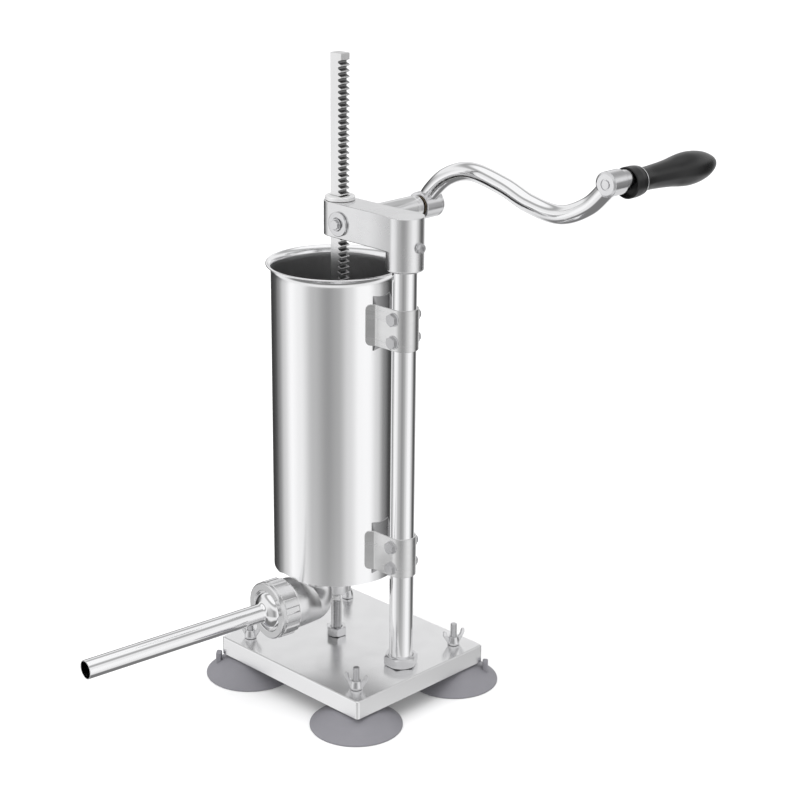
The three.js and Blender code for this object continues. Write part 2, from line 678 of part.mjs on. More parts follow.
function addCrank() {
  const crank = new THREE.Group();
  crank.position.set(PINION.x, 0, PINION.z);
  stuffer.add(crank);
  const { journal, rear, front, end } = SHAFT;
  const shaft = shaped(pinionTeeth(), {
    add: [cylinderY(journal, front, -PINION.half + 1), cylinderY(rear, PINION.half - 1, end)],
    cut: [cylinderY(2.3, front - 1, -PINION.half)],
  });
  place(crank, "pinion_shaft", shaft, PLATED());

  const screwSeat = -HEAD.halfWidth - GAP - 2 - GAP;
  const endScrew = shaped(cylinderY(2, screwSeat - 1, -9), {
    add: [cylinderY(5, screwSeat - 3.2, screwSeat, 6)],
  });
  place(crank, "shaft_end_screw", endScrew, PLATED());

  place(crank, "crank_hub", ringY(rear + GAP, HUB.radius, HUB.start, HUB.end), PLATED());

  const circle = new THREE.Shape().absarc(0, 0, CRANK_ROD, 0, 2 * Math.PI);
  const line = CRANK_LINE.map(([x, z]) => new THREE.Vector3(x, CRANK_Y, z));
  const rod = new THREE.ExtrudeGeometry(circle, {
    steps: CRANK_STEPS,
    curveSegments: SMALL_ROUND / 2,
    bevelEnabled: false,
    extrudePath: new THREE.CatmullRomCurve3(line),
  });
  const hubRoom = cylinderY(HUB.radius + GAP, 60, 120, ROUND);
  const bossRoom = cylinderY(HANDLE.boss + GAP, 60, 130, ROUND);
  bossRoom.translate(HANDLE.x, 0, HANDLE.z);
  place(crank, "crank_arm", shaped(rod, { cut: [hubRoom, bossRoom] }), POLISHED());

  const { front: face, boss, bossLength, shank, pin, drop } = HANDLE;
  const seat = FERRULE.start - 6;
  const back = FERRULE.start + 4;
  const body = turnedY([
    [0, face - 0.4],
    [pin, face - 0.4],
    [pin, face],
    [boss - 1, face],
    [boss, face + 1],
    [boss, face + bossLength],
    [shank, face + bossLength + 1],
    [shank, back],
    [0, back],
  ]);
  const socket = cylinderY(pin + GAP, seat - GAP, back + 1).translate(0, 0, -drop);
  const endBoss = shaped(body, { cut: [socket] });
  place(crank, "crank_end_boss", endBoss, PLATED(), [HANDLE.x, 0, HANDLE.z]);

  const handle = [HANDLE.x, 0, HANDLE.z - drop];
  place(crank, "handle_spindle", cylinderY(pin, seat, GRIP.end - 18), PLATED(), handle);
  place(crank, "handle_ferrule", ferrule(), BLACK(), handle);
  place(crank, "handle_grip", grip(), BLACK(), handle);
}

// The ferrule is hollow in front, where it turns round the shank.
function ferrule() {
  const { start, end, radius, hollow } = FERRULE;
  const bore = HANDLE.pin + 0.4;
  return turnedY(
    closedProfile([
      [hollow, start],
      [radius - 0.5, start],
      [radius, start + 0.8],
      [radius - 0.2, end - 2],
      [radius - 1.2, end],
      [bore, end],
      [bore, start + 5],
      [hollow, start + 5],
    ]),
  );
}

function grip() {
  const start = FERRULE.end + GAP;
  const bore = HANDLE.pin + 0.4;
  return turnedY(
    closedProfile([
      [bore, start],
      ...GRIP.profile,
      [0, GRIP.end],
      [0, GRIP.end - 16],
      [bore, GRIP.end - 16],
    ]),
  );
}

function rackGeometry() {
  const pitchX = RACK_TIPS_X - TOOTH.addendum;
  const rootX = pitchX - TOOTH.dedendum;
  const half = PITCH / 4 - TOOTH.backlash / 2;
  const tipHalf = half - TOOTH.addendum * TOOTH.flank;
  const rootHalf = half + TOOTH.dedendum * TOOTH.flank;
  const back = RACK.x - RACK.depth / 2;
  const outline = [[back, RACK.top], [back, RACK.bottom], [rootX, RACK.bottom]];
  // A space between teeth is level with the pinion's axis at rest.
  const first = Math.ceil((RACK.bottom + RACK.plain - PINION.z) / PITCH);
  const last = Math.floor((RACK.top - 3 - PINION.z) / PITCH) - 1;
  for (let i = first; i <= last; i++) {
    const z = PINION.z + (i + 0.5) * PITCH;
    outline.push([rootX, z - rootHalf], [RACK_TIPS_X, z - tipHalf]);
    outline.push([RACK_TIPS_X, z + tipHalf], [rootX, z + rootHalf]);
  }
  // The topmost tooth runs into the end of the bar.
  const topTooth = PINION.z + (last + 1.5) * PITCH;
  outline.push([rootX, topTooth - rootHalf], [RACK_TIPS_X, topTooth - tipHalf], [RACK_TIPS_X, RACK.top]);
  const bar = stretchedY(outline, -RACK.width / 2, RACK.width / 2);
  return shaped(bar, {
    cut: [pistonBolt(GAP, RACK.bottom - 1, RACK.bottom + 21)],
  });
}

// The shank of the bolt that holds the piston on the rack, enlarged by room.
function pistonBolt(room, low, high) {
  return cylinderZ(PISTON_BOLT.radius + room, low, high).translate(PISTON_BOLT.x, 0, 0);
}

function addRam() {
  place(stuffer, "rack", rackGeometry(), PLATED());
  const { radius, bottom, thickness } = PISTON;
  const top = bottom + thickness;
  const seal = [SEAL.bottom - GAP, SEAL.bottom + SEAL.height + GAP];
  const groove = ringZ(SEAL.inner - GAP, radius + 5, seal[0], seal[1], LARGE_ROUND);
  const disc = shaped(cylinderZ(radius, bottom, top, LARGE_ROUND).translate(BARREL.x, 0, 0), {
    cut: [
      groove.translate(BARREL.x, 0, 0),
      pistonBolt(GAP, bottom - 1, top + 1),
      cylinderZ(PISTON_BOLT.head, bottom - 1, bottom + 5.5).translate(PISTON_BOLT.x, 0, 0),
      cylinderZ(VALVE.stem + GAP, bottom - 1, top + 1).translate(VALVE.x, 0, 0),
    ],
  });
  place(stuffer, "piston_disc", disc, paint(0xececea, 0.5, 0));
  const { inner, radius: outer, bottom: sealBottom, height } = SEAL;
  const sealRing = ringZ(inner, outer, sealBottom, sealBottom + height, LARGE_ROUND);
  place(stuffer, "piston_seal", sealRing, SEAL_RUBBER(), [BARREL.x, 0, 0]);
  const boltHead = hexagonZ(13, bottom + 0.2, bottom + 5.2).translate(PISTON_BOLT.x, 0, 0);
  const bolt = shaped(pistonBolt(0, bottom + 1, RACK.bottom + 18), { add: [boltHead] });
  place(stuffer, "piston_bolt", bolt, PLATED());
  const valve = turnedZ(
    [[0, bottom], [VALVE.stem, bottom], [VALVE.stem, top + GAP], [VALVE.head, top + GAP],
      [VALVE.head - 1, top + 3], [0, top + 3]],
    SMALL_ROUND,
  );
  place(stuffer, "air_valve", valve, SEAL_RUBBER(), [VALVE.x, 0, 0]);
}

addBasePlate();
CORNERS.forEach(addFoot);
addColumn();
addBarrel();
addClamp("lower", CLAMP_Z.lower);
addClamp("upper", CLAMP_Z.upper);
addOutlet();
addSupport();
addHead();
addShaftHousing();
addCrank();
addRam();

export default stuffer;
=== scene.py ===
"""A bench-top sausage stuffer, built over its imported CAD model.

Shapes are made in millimetres in the row's frame: +X runs from the barrel to the column, +Z is up, and the
origin is the centre of the base plate's top. Each piece stands for the CAD node that it is named after.
"""

import json
import math

import bmesh
import bpy
from mathutils import Matrix, Vector


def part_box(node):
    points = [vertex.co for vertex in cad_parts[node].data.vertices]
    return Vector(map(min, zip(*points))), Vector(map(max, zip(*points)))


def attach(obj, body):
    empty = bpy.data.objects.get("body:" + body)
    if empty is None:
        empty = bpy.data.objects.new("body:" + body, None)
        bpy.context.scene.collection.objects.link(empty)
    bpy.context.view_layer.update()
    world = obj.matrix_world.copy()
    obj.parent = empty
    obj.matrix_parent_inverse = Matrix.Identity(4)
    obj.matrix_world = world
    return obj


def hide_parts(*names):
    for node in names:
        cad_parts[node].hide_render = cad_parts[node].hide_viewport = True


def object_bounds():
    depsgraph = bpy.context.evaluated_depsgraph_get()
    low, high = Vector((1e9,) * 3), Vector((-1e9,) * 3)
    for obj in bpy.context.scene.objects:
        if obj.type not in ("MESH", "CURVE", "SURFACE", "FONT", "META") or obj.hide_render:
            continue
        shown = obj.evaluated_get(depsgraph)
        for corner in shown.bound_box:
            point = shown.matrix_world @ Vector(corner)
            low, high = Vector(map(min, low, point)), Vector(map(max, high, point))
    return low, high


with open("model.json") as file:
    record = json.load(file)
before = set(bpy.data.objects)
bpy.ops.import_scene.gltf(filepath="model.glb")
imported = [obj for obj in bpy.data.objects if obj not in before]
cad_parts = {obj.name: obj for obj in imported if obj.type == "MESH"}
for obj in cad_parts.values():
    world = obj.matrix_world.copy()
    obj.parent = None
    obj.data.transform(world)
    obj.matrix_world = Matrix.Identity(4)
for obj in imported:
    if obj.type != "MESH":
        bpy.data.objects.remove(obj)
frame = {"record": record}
cad_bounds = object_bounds()

MM = 0.001
GAP = 0.3  # mm between the CAD faces that touch
SIDES = 96
CORNERS = ("front_left", "front_right", "rear_left", "rear_right")
LEVELS = ("lower", "upper")

BODY_OF = {
    node: body for body, nodes in frame["record"]["behaviour"]["bodies"].items() for node in nodes
}


# ---- places, from the CAD ----


def span(node):
    """A node's lowest and highest corners, in mm."""
    low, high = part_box(node)
    return Vector(low) / MM, Vector(high) / MM


def middle(node):
    low, high = span(node)
    return (low + high) / 2


# ---- materials ----


def shader(
    name, colour, metallic, roughness, spread, stretch=(1, 1, 1), tint=0.05, bump=0.0, grain=900
):
    """A Principled material whose roughness and colour drift a little, with a fine bump.

    spread is how far the roughness drifts, stretch draws the noise out into lines, and grain is the
    bump's cells per metre.
    """
    made = bpy.data.materials.new(name)
    made.use_nodes = True
    nodes, links = made.node_tree.nodes, made.node_tree.links
    surface = nodes["Principled BSDF"]
    surface.inputs["Metallic"].default_value = metallic
    place = nodes.new("ShaderNodeTexCoord")
    scaled = nodes.new("ShaderNodeMapping")
    scaled.inputs["Scale"].default_value = stretch
    links.new(place.outputs["Object"], scaled.inputs["Vector"])

    smudge = nodes.new("ShaderNodeTexNoise")
    smudge.inputs["Scale"].default_value = 45
    smudge.inputs["Detail"].default_value = 5
    links.new(scaled.outputs["Vector"], smudge.inputs["Vector"])
    rough = nodes.new("ShaderNodeMapRange")
    rough.inputs["From Min"].default_value = 0.3
    rough.inputs["From Max"].default_value = 0.7
    rough.inputs["To Min"].default_value = roughness - spread
    rough.inputs["To Max"].default_value = roughness + spread
    links.new(smudge.outputs["Fac"], rough.inputs["Value"])
    links.new(rough.outputs["Result"], surface.inputs["Roughness"])

    drift = nodes.new("ShaderNodeMix")
    drift.data_type = "RGBA"
    drift.inputs["A"].default_value = (*colour, 1)
    drift.inputs["B"].default_value = (*(c * (1 - tint) for c in colour), 1)
    links.new(smudge.outputs["Fac"], drift.inputs["Factor"])
    links.new(drift.outputs["Result"], surface.inputs["Base Color"])

    if bump:
        fine = nodes.new("ShaderNodeTexNoise")
        fine.inputs["Scale"].default_value = grain
        fine.inputs["Detail"].default_value = 3
        links.new(scaled.outputs["Vector"], fine.inputs["Vector"])
        relief = nodes.new("ShaderNodeBump")
        relief.inputs["Strength"].default_value = 0.35
        relief.inputs["Distance"].default_value = bump * MM
        links.new(fine.outputs["Fac"], relief.inputs["Height"])
        links.new(relief.outputs["Normal"], surface.inputs["Normal"])
    return made


POLISHED = shader("polished_steel", (0.95, 0.95, 0.955), 1, 0.09, 0.025, stretch=(1, 1, 0.15), tint=0.02)
BARREL_STEEL = shader("barrel_steel", (0.97, 0.97, 0.975), 1, 0.15, 0.02, stretch=(3, 3, 0.1), tint=0.02)
# Painted shade: the barrel's inside and floor are the same steel as its outside, given a darker colour for
# the shade inside the barrel.
BARREL_INSIDE_SHADE = shader("barrel_inside_painted_shade", (0.5, 0.5, 0.505), 0.93, 0.32, 0.03, tint=0.06)
PLATE_STEEL = shader("plate_steel", (0.94, 0.94, 0.945), 1, 0.24, 0.03, tint=0.02)
PLATED = shader("plated_steel", (0.8, 0.8, 0.81), 1, 0.16, 0.05, tint=0.12)
BOLT = shader("bolt_steel", (0.62, 0.62, 0.63), 1, 0.26, 0.06, tint=0.15, bump=0.02)
NUT_CAST = shader("coupling_cast", (0.8, 0.8, 0.805), 1, 0.19, 0.04, tint=0.06, bump=0.01, grain=1500)
THREAD = shader("threaded_steel", (0.66, 0.66, 0.67), 1, 0.2, 0.06, tint=0.15, bump=0.02)
# Painted shade: the brackets are sheet steel like the straps, made darker for the shade where they sit
# against the barrel under the straps.
BRACKET_SHADE_SHEET = shader("bracket_steel_painted_shade", (0.4, 0.4, 0.405), 1, 0.3, 0.05, stretch=(0.3, 0.3, 4), tint=0.08)
SHEET = shader("sheet_steel", (0.8, 0.8, 0.8), 1, 0.24, 0.05, stretch=(0.3, 0.3, 4), tint=0.06, bump=0.02)
CAST = shader("cast_aluminium", (0.88, 0.88, 0.885), 1, 0.25, 0.04, tint=0.05, bump=0.012, grain=1500)
SATIN_CAST = shader("satin_cast", (0.92, 0.92, 0.925), 1, 0.36, 0.04, tint=0.05, bump=0.01, grain=1500)
# The collar's own light colour; the same material is also put on the support screw's tip as a painted
# highlight.
COLLAR_AND_TIP_HIGHLIGHT = shader("guide_collar", (0.86, 0.86, 0.86), 0.6, 0.5, 0.05, tint=0.05, bump=0.02)
RACK_STEEL = shader("rack_steel", (0.93, 0.93, 0.93), 1, 0.24, 0.04, stretch=(1, 1, 0.2), tint=0.05)
# Painted shade: a darker copy of the rack's steel for the tooth spaces, where shade falls between the teeth.
TOOTH_SPACE_SHADE = shader("rack_tooth_space_painted_shade", (0.36, 0.36, 0.36), 1, 0.36, 0.06, tint=0.3, bump=0.03)
RUBBER = shader("grey_rubber", (0.225, 0.222, 0.242), 0, 0.6, 0.08, tint=0.12, bump=0.1, grain=700)
BLACK = shader("black_plastic", (0.009, 0.009, 0.0095), 0, 0.3, 0.05, tint=0.3, bump=0.02)
WHITE = shader("white_plastic", (0.78, 0.78, 0.75), 0, 0.42, 0.06, tint=0.06, bump=0.05)
SEAL = shader("white_rubber", (0.74, 0.74, 0.7), 0, 0.6, 0.06, tint=0.08, bump=0.08)
BRONZE = shader("bronze", (0.3, 0.24, 0.16), 1, 0.35, 0.06, tint=0.15, bump=0.02)


# These nodes' pieces stay out of reflections, so that the barrel's steel shows only the studio.
UNMIRRORED = {"column", "column_washer", "column_lock_nut", "coupling_nut", "discharge_elbow"}
UNMIRRORED |= {node for node in BODY_OF if node.startswith(("clamp_", "barrel_bracket"))}


# ---- mesh making, in mm ----

ALONG_Y = Matrix.Rotation(-math.pi / 2, 4, "X")
ALONG_X = Matrix.Rotation(math.pi / 2, 4, "Y")
UPRIGHT = Matrix.Rotation(math.pi / 2, 4, "X")  # lays an outline's second axis along Z


def rounded(points, closed=False, steps=4):
    """Points (x, y) or (x, y, radius), with each corner that has a radius turned into a curve."""
    made = []
    for i, point in enumerate(points):
        corner = Vector(point[:2])
        radius = point[2] if len(point) > 2 else 0
        if not radius or (not closed and i in (0, len(points) - 1)):
            made.append(corner)
            continue
        before = Vector(points[i - 1][:2]) - corner
        after = Vector(points[(i + 1) % len(points)][:2]) - corner
        reach = radius / math.tan(max(before.angle(after), 0.2) / 2)
        reach = min(reach, 0.48 * before.length, 0.48 * after.length)
        start = corner + before.normalized() * reach
        end = corner + after.normalized() * reach
        for k in range(steps + 1):
            t = k / steps
            made.append(start * (1 - t) ** 2 + corner * (2 * t * (1 - t)) + end * t**2)
    return made


def smooth_line(points, steps):
    """A centripetal curve through the points, which are vectors of any length."""
    ends = [points[0] * 2 - points[1], *points, points[-1] * 2 - points[-2]]
    made = []
    for p0, p1, p2, p3 in zip(ends, ends[1:], ends[2:], ends[3:]):
        t0 = 0
        t1 = t0 + max((p1 - p0).length, 1e-6) ** 0.5
        t2 = t1 + max((p2 - p1).length, 1e-6) ** 0.5
        t3 = t2 + max((p3 - p2).length, 1e-6) ** 0.5
        for k in range(steps):
            t = t1 + (t2 - t1) * k / steps
            a1 = p0 * ((t1 - t) / (t1 - t0)) + p1 * ((t - t0) / (t1 - t0))
            a2 = p1 * ((t2 - t) / (t2 - t1)) + p2 * ((t - t1) / (t2 - t1))
            a3 = p2 * ((t3 - t) / (t3 - t2)) + p3 * ((t - t2) / (t3 - t2))
            b1 = a1 * ((t2 - t) / (t2 - t0)) + a2 * ((t - t0) / (t2 - t0))
            b2 = a2 * ((t3 - t) / (t3 - t1)) + a3 * ((t - t1) / (t3 - t1))
            made.append(b1 * ((t2 - t) / (t2 - t1)) + b2 * ((t - t1) / (t2 - t1)))
    return [*made, points[-1]]


def skinned(rings, closed=False):
    """A body over rings of equally many points. A closed one joins its last ring to its first."""
    bm = bmesh.new()
    made = [[bm.verts.new(point) for point in ring] for ring in rings]
    pairs = list(zip(made, made[1:]))
    if closed:
        pairs.append((made[-1], made[0]))
    else:
        bm.faces.new(list(reversed(made[0])))
        bm.faces.new(made[-1])
    for a, b in pairs:
        for i in range(len(a)):
            j = (i + 1) % len(a)
            bm.faces.new((a[i], a[j], b[j], b[i]))
    bmesh.ops.recalc_face_normals(bm, faces=bm.faces)
    return bm


def circle(radius, height, sides=SIDES):
    turns = (2 * math.pi * i / sides for i in range(sides))
    return [(radius * math.cos(a), radius * math.sin(a), height) for a in turns]


def turned(profile, closed=True, sides=SIDES):
    """A profile of (radius, height) points turned about Z."""
    return skinned([circle(radius, height, sides) for radius, height in profile], closed)


def lofted(sections, sides=64):
    """Rings round (centre, direction, radius) sections that all lie in one upright plane."""
    rings = []
    across = Vector((1, 0, 0))
    for centre, direction, radius in sections:
        other = direction.cross(across).normalized()
        turns = (2 * math.pi * i / sides for i in range(sides))
        rings.append([centre + radius * (across * math.cos(a) + other * math.sin(a)) for a in turns])
    return rings


def prism(outline, low, high, bevel=0.0, segments=3):
    """An outline in X and Y raised from low to high, with its end edges rounded."""
    bm = skinned([[(x, y, low) for x, y in outline], [(x, y, high) for x, y in outline]])
    if bevel:
        rims = [e for e in bm.edges if abs(e.verts[0].co.z - e.verts[1].co.z) < 1e-6]
        bmesh.ops.bevel(bm, geom=rims, offset=bevel, segments=segments, profile=0.5, affect="EDGES")
    return bm


def block(low, high, bevel, segments=3):
    bm = bmesh.new()
    bmesh.ops.create_cube(bm, size=1)
    low, high = Vector(low), Vector(high)
    bm.transform(Matrix.Translation((low + high) / 2) @ Matrix.Diagonal((*(high - low), 1)))
    bmesh.ops.bevel(bm, geom=bm.edges[:], offset=bevel, segments=segments, profile=0.5, affect="EDGES")
    return bm


def hexed(flats, low, high, bore=0.0, chamfer=0.6):
    """A hexagon with its corners turned down at both ends, and a bore with a countersink if bore isn't 0.

    A flat side faces +X. The chamfer is the cone that cuts the corners, as on a real nut.
    """
    face = flats / 2 - 0.1
    sides = 96
    turns = [2 * math.pi * i / sides for i in range(sides)]
    sixth = math.pi / 3

    def reach(a):
        return flats / 2 / math.cos((a + sixth / 2) % sixth - sixth / 2)

    def drop(a):
        return (reach(a) - face) * chamfer

    walls = [
        [(face, lambda a: low), (reach, lambda a: low + drop(a))],
        [(reach, lambda a: high - drop(a)), (face, lambda a: high)],
    ]
    rings = []
    for pair in walls:
        for radius, height in pair:
            ring = []
            for a in turns:
                r = radius(a) if callable(radius) else radius
                ring.append((r * math.cos(a), r * math.sin(a), height(a)))
            rings.append(ring)
    if not bore:
        return skinned([circle(0.4, low, sides), *rings, circle(0.4, high, sides)])
    sink = 0.7
    inside = [circle(bore + sink, high, sides), circle(bore, high - sink, sides)]
    return skinned([circle(bore, low, sides), *rings, *inside], closed=True)


def threaded(radius, pitch, low, high, sides=32, steps=6):
    """A screw thread from low to high, with its ends chamfered."""
    depth = 0.55 * pitch
    rings = []
    count = round((high - low) / pitch * steps)
    for j in range(count + 1):
        z = low + (high - low) * j / count
        near_end = min(z - low, high - z)
        ring = []
        for i in range(sides):
            phase = (z / pitch - i / sides) % 1
            r = radius - depth * abs(2 * phase - 1)
            r = min(r, radius - depth + near_end)
            a = 2 * math.pi * i / sides
            ring.append((r * math.cos(a), r * math.sin(a), z))
        rings.append(ring)
    return skinned(rings)


def ribbon(line, thickness, reach):
    """Sheet metal that follows a line in plan.

    reach(point, distance to the nearer end) is its half height there.
    """
    travelled = [0]
    for a, b in zip(line, line[1:]):
        travelled.append(travelled[-1] + (b - a).length)
    rings = []
    edge = 0.25 * thickness
    for i, point in enumerate(line):
        along = line[min(i + 1, len(line) - 1)] - line[max(i - 1, 0)]
        side = Vector((-along.y, along.x)).normalized() * (thickness / 2)
        tall = reach(point, min(travelled[i], travelled[-1] - travelled[i]))
        thin = side * 0.5
        ring = []
        for sign in (1, -1):
            outer, shoulder = point + side * sign, (tall - edge) * sign
            ring += [(outer, -shoulder), (outer, shoulder)]
            ring += [(point + thin * sign, tall * sign), (point - thin * sign, tall * sign)]
        rings.append([(p.x, p.y, z) for p, z in ring])
    return skinned(rings)


def joined(*parts):
    whole = bmesh.new()
    for part in parts:
        mesh = bpy.data.meshes.new("part")
        part.to_mesh(mesh)
        part.free()
        whole.from_mesh(mesh)
        bpy.data.meshes.remove(mesh)
    return whole


def loose(bm):
    mesh = bpy.data.meshes.new("loose")
    bm.to_mesh(mesh)
    bm.free()
    made = bpy.data.objects.new("loose", mesh)
    bpy.context.scene.collection.objects.link(made)
    return made


def combined(bm, tools, operation="DIFFERENCE"):
    """bm less the tools, or with them, by exact booleans."""
    base = loose(bm)
    cutters = [loose(tool) for tool in tools]
    for cutter in cutters:
        change = base.modifiers.new("change", "BOOLEAN")
        change.operation = operation
        change.solver = "EXACT"
        change.object = cutter
    result = bmesh.new()
    seen = base.evaluated_get(bpy.context.evaluated_depsgraph_get())
    result.from_mesh(seen.to_mesh())
    seen.to_mesh_clear()
    for made in (base, *cutters):
        mesh = made.data
        bpy.data.objects.remove(made)
        bpy.data.meshes.remove(mesh)
    return result


def piece(
    node, bm, material, at=(0, 0, 0), turn=None, sharp=35, bevel=0.0, name=None, inside=None
):
    """The mesh becomes a piece that stands for the node, or goes with it if it has a name of its own.

    inside is a second material and a test on a face's centre, in mm, for the faces that take it.
    """
    bm.transform(Matrix.Translation(at) @ (turn or Matrix()))
    bm.normal_update()
    mesh = bpy.data.meshes.new(name or node)
    mesh.materials.append(material)
    if inside:
        mesh.materials.append(inside[0])
        for face in bm.faces:
            face.material_index = int(inside[1](face))
    bm.transform(Matrix.Scale(MM, 4))
    bm.to_mesh(mesh)
    bm.free()
    mesh.shade_smooth()
    mesh.set_sharp_from_angle(angle=math.radians(sharp))
    made = bpy.data.objects.new(name or f"{node}_fine", mesh)
    bpy.context.scene.collection.objects.link(made)
    if bevel:
        edges = made.modifiers.new("edges", "BEVEL")
        edges.width = bevel * MM
        edges.segments = 2
        edges.limit_method = "ANGLE"
        edges.angle_limit = math.radians(sharp)
    even = made.modifiers.new("even", "WEIGHTED_NORMAL")
    even.keep_sharp = True
    made.visible_glossy = node not in UNMIRRORED
    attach(made, BODY_OF[node])
    if not name:
        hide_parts(node)
    return made


# ---- stand ----


def base_plate():
    low, high = span("base_plate")
    corner = 3

    def loop(inset, z):
        x, y = high.x - inset, high.y - inset
        radius = max(corner - inset, 0.5)
        points = []
        for k, (sx, sy) in enumerate(((1, 1), (-1, 1), (-1, -1), (1, -1))):
            for step in range(7):
                a = math.pi / 2 * (k + step / 6)
                along = sx * (x - radius) + radius * math.cos(a)
                across = sy * (y - radius) + radius * math.sin(a)
                points.append((along, across, z))
        return points

    skirt, sheet = 2, 2.5
    inwards = 14  # how far in the skinned faces close
    profile = [
        (inwards, -sheet),
        (skirt, -sheet, 1.2),
        (skirt, low.z, 0.4),
        (0, low.z, 0.5),
        (0, 0, 1.7),
        (inwards, 0),
    ]
    bm = skinned([loop(inset, z) for inset, z in rounded(profile)])
    piece("base_plate", bm, PLATE_STEEL)


def feet():
    for corner in CORNERS:
        low, high = span(f"cup_stud_{corner}")
        x, y = middle(f"cup_stud_{corner}").xy
        profile = [
            (0.5, -24.2),
            (16, -28, 12),
            (36, -34, 8),
            (39, -35, 0.5),
            (41, -35, 0.5),
            (41, -33.6, 0.6),
            (36, -29.4, 20),
            (28, -23.9, 20),
            (20, -19.6, 16),
            (13, -17.2, 4),
            (10, -15, 2),
            (10, -2.9),
            (3, -2.9),
        ]
        tab = block((27.2, -4, -28), (32.2, 4, -15.7), 1.3)
        # One cup is screwed on the other way round, with its tab towards the middle.
        half_turn = math.pi if corner == "front_right" else 0
        tab.transform(Matrix.Rotation(math.atan2(y, x) + half_turn, 4, "Z"))
        bell = turned(rounded(profile, steps=5), closed=False)
        piece(f"suction_cup_{corner}", joined(bell, tab), RUBBER, at=(x, y, 0))
        stud = threaded(3, 1, low.z, high.z)
        piece(f"cup_stud_{corner}", stud, THREAD, at=(x, y, 0), sharp=60)
        wing_nut(corner, x, y)


# How far each wing nut is turned at rest, in degrees.
WING_TURNS = {"front_left": 200, "front_right": 25, "rear_left": 120, "rear_right": 70}


def wing_nut(corner, x, y):
    profile = [(3.1, 0), (5.6, 0, 0.4), (5.6, 1.8, 0.9), (4.3, 7.8, 0.8), (3.5, 7.8), (3.1, 7.4)]
    body = turned(rounded(profile, closed=True), sides=64)
    outline = [
        (3.3, 1.4),
        (6, 1.6, 1),
        (10.9, 9.8, 2.2),
        (10.6, 14, 1.6),
        (7.8, 13.6, 1.6),
        (6.6, 8.8, 2.5),
        (3.3, 5.8),
    ]
    wings = []
    for side in (0, math.pi):
        wing = prism(rounded(outline, closed=True), -1, 1, bevel=0.5)
        wing.transform(Matrix.Rotation(side, 4, "Z") @ UPRIGHT)
        wings.append(wing)
    turn = Matrix.Rotation(math.radians(WING_TURNS[corner]), 4, "Z")
    piece(f"wing_nut_{corner}", joined(body, *wings), PLATED, at=(x, y, GAP), turn=turn)


def column():
    low, high = span("column")
    radius = (high.x - low.x) / 2
    at = (middle("column").x, 0, 0)
    wall = 2.2
    profile = [(radius - wall, low.z), (radius, low.z, 0.5), (radius, high.z), (radius - wall, high.z)]
    piece("column", turned(rounded(profile, closed=True)), POLISHED, at=at)
    corner_on_x = Matrix.Rotation(math.radians(30), 4, "Z")
    for node, turn in (("column_foot_nut", corner_on_x), ("column_lock_nut", Matrix())):
        bottom, top = span(node)
        nut = hexed(27, bottom.z, top.z, bore=radius + 0.1)
        piece(node, nut, PLATED, at=at, turn=turn)
    bottom, top = span("column_washer")
    outer = (top.x - bottom.x) / 2
    profile = [(radius + 0.2, bottom.z), (outer, bottom.z, 0.4), (outer, top.z, 0.4), (radius + 0.2, top.z)]
    piece("column_washer", turned(rounded(profile, closed=True)), PLATED, at=at)


# ---- barrel ----

BARREL_X = middle("barrel").x
BARREL_RADIUS = 56.4
BARREL_WALL = 1.2
OUTLET_Z = 45.8  # the height of the nozzle's axis
OUTLET_REACH = 17.5  # from the barrel's axis to the hole in its floor
DRAIN_RADIUS = 7.8
OUTLET_TURN = Matrix.Rotation(math.radians(-6.3), 4, "Z")
TO_OUTLET = Matrix.Translation((BARREL_X, 0, OUTLET_Z)) @ OUTLET_TURN @ UPRIGHT


def barrel():
    low, high = span("barrel")
    top = high.z
    lip = (high.x - low.x) / 2
    inner = BARREL_RADIUS - BARREL_WALL
    flare = [
        (BARREL_RADIUS, top - 12),
        (BARREL_RADIUS + 0.2, top - 7),
        (BARREL_RADIUS + 1.2, top - 3.6),
        (lip - 1.4, top - 1.8),
        (lip - 0.2, top - 1.3),
        (lip, top - 0.7),
        (lip - 0.4, top - 0.1),
        (lip - 1.4, top),
        (inner + 2.2, top - 1.4),
        (inner + 0.8, top - 4),
        (inner + 0.1, top - 8),
        (inner, top - 12),
    ]
    rim = smooth_line([Vector(p) for p in flare], 4)
    wall = [(inner, low.z), (BARREL_RADIUS, low.z), (BARREL_RADIUS, low.z + 0.6)]
    shell = turned([*wall, *rim, (inner, low.z + 0.6)], sides=192)
    arch_radius = 29.5
    arch = turned([(arch_radius, 0), (arch_radius, 90)], closed=False)
    arch.transform(Matrix.Translation((0, 0, OUTLET_Z)) @ OUTLET_TURN @ UPRIGHT)
    notched = combined(shell, [arch])

    # The inside faces below the rim take the darker steel: painted shade inside the barrel.
    def is_shaded_inside(face):
        at = face.calc_center_median() - Vector((BARREL_X, 0, 0))
        return at.xy.length < inner + 0.3 and at.z < top - 6

    piece("barrel", notched, BARREL_STEEL, at=(BARREL_X, 0, 0), inside=(BARREL_INSIDE_SHADE, is_shaded_inside))

    bottom, above = span("barrel_floor")
    edge = (above.x - bottom.x) / 2
    profile = [(0.5, bottom.z), (edge, bottom.z, 0.4), (edge, above.z, 0.4), (0.5, above.z)]
    drain = turned([(DRAIN_RADIUS, 60), (DRAIN_RADIUS, 100)], closed=False)
    drain.transform(OUTLET_TURN @ Matrix.Translation((0, -OUTLET_REACH, 0)))
    disc = combined(turned(rounded(profile), closed=False), [drain])
    # The floor takes the same darker steel: painted shade at the bottom of the barrel.
    piece("barrel_floor", disc, BARREL_INSIDE_SHADE, at=(BARREL_X, 0, 0))


def arc(centre_x, radius, start, end, steps):
    """Points round (centre_x, 0) in plan, from one angle in degrees to another."""
    turns = (math.radians(start + (end - start) * i / steps) for i in range(steps + 1))
    return [Vector((centre_x + radius * math.cos(a), radius * math.sin(a))) for a in turns]


def mirrored(line):
    """The line's reflection across the X axis, from its far end back."""
    return [Vector((p.x, -p.y)) for p in reversed(line)]


STRAP_SHEET = 1.5
CLAMP_FACE = 12.55  # from the middle plane to the outside of the strap's flat sides


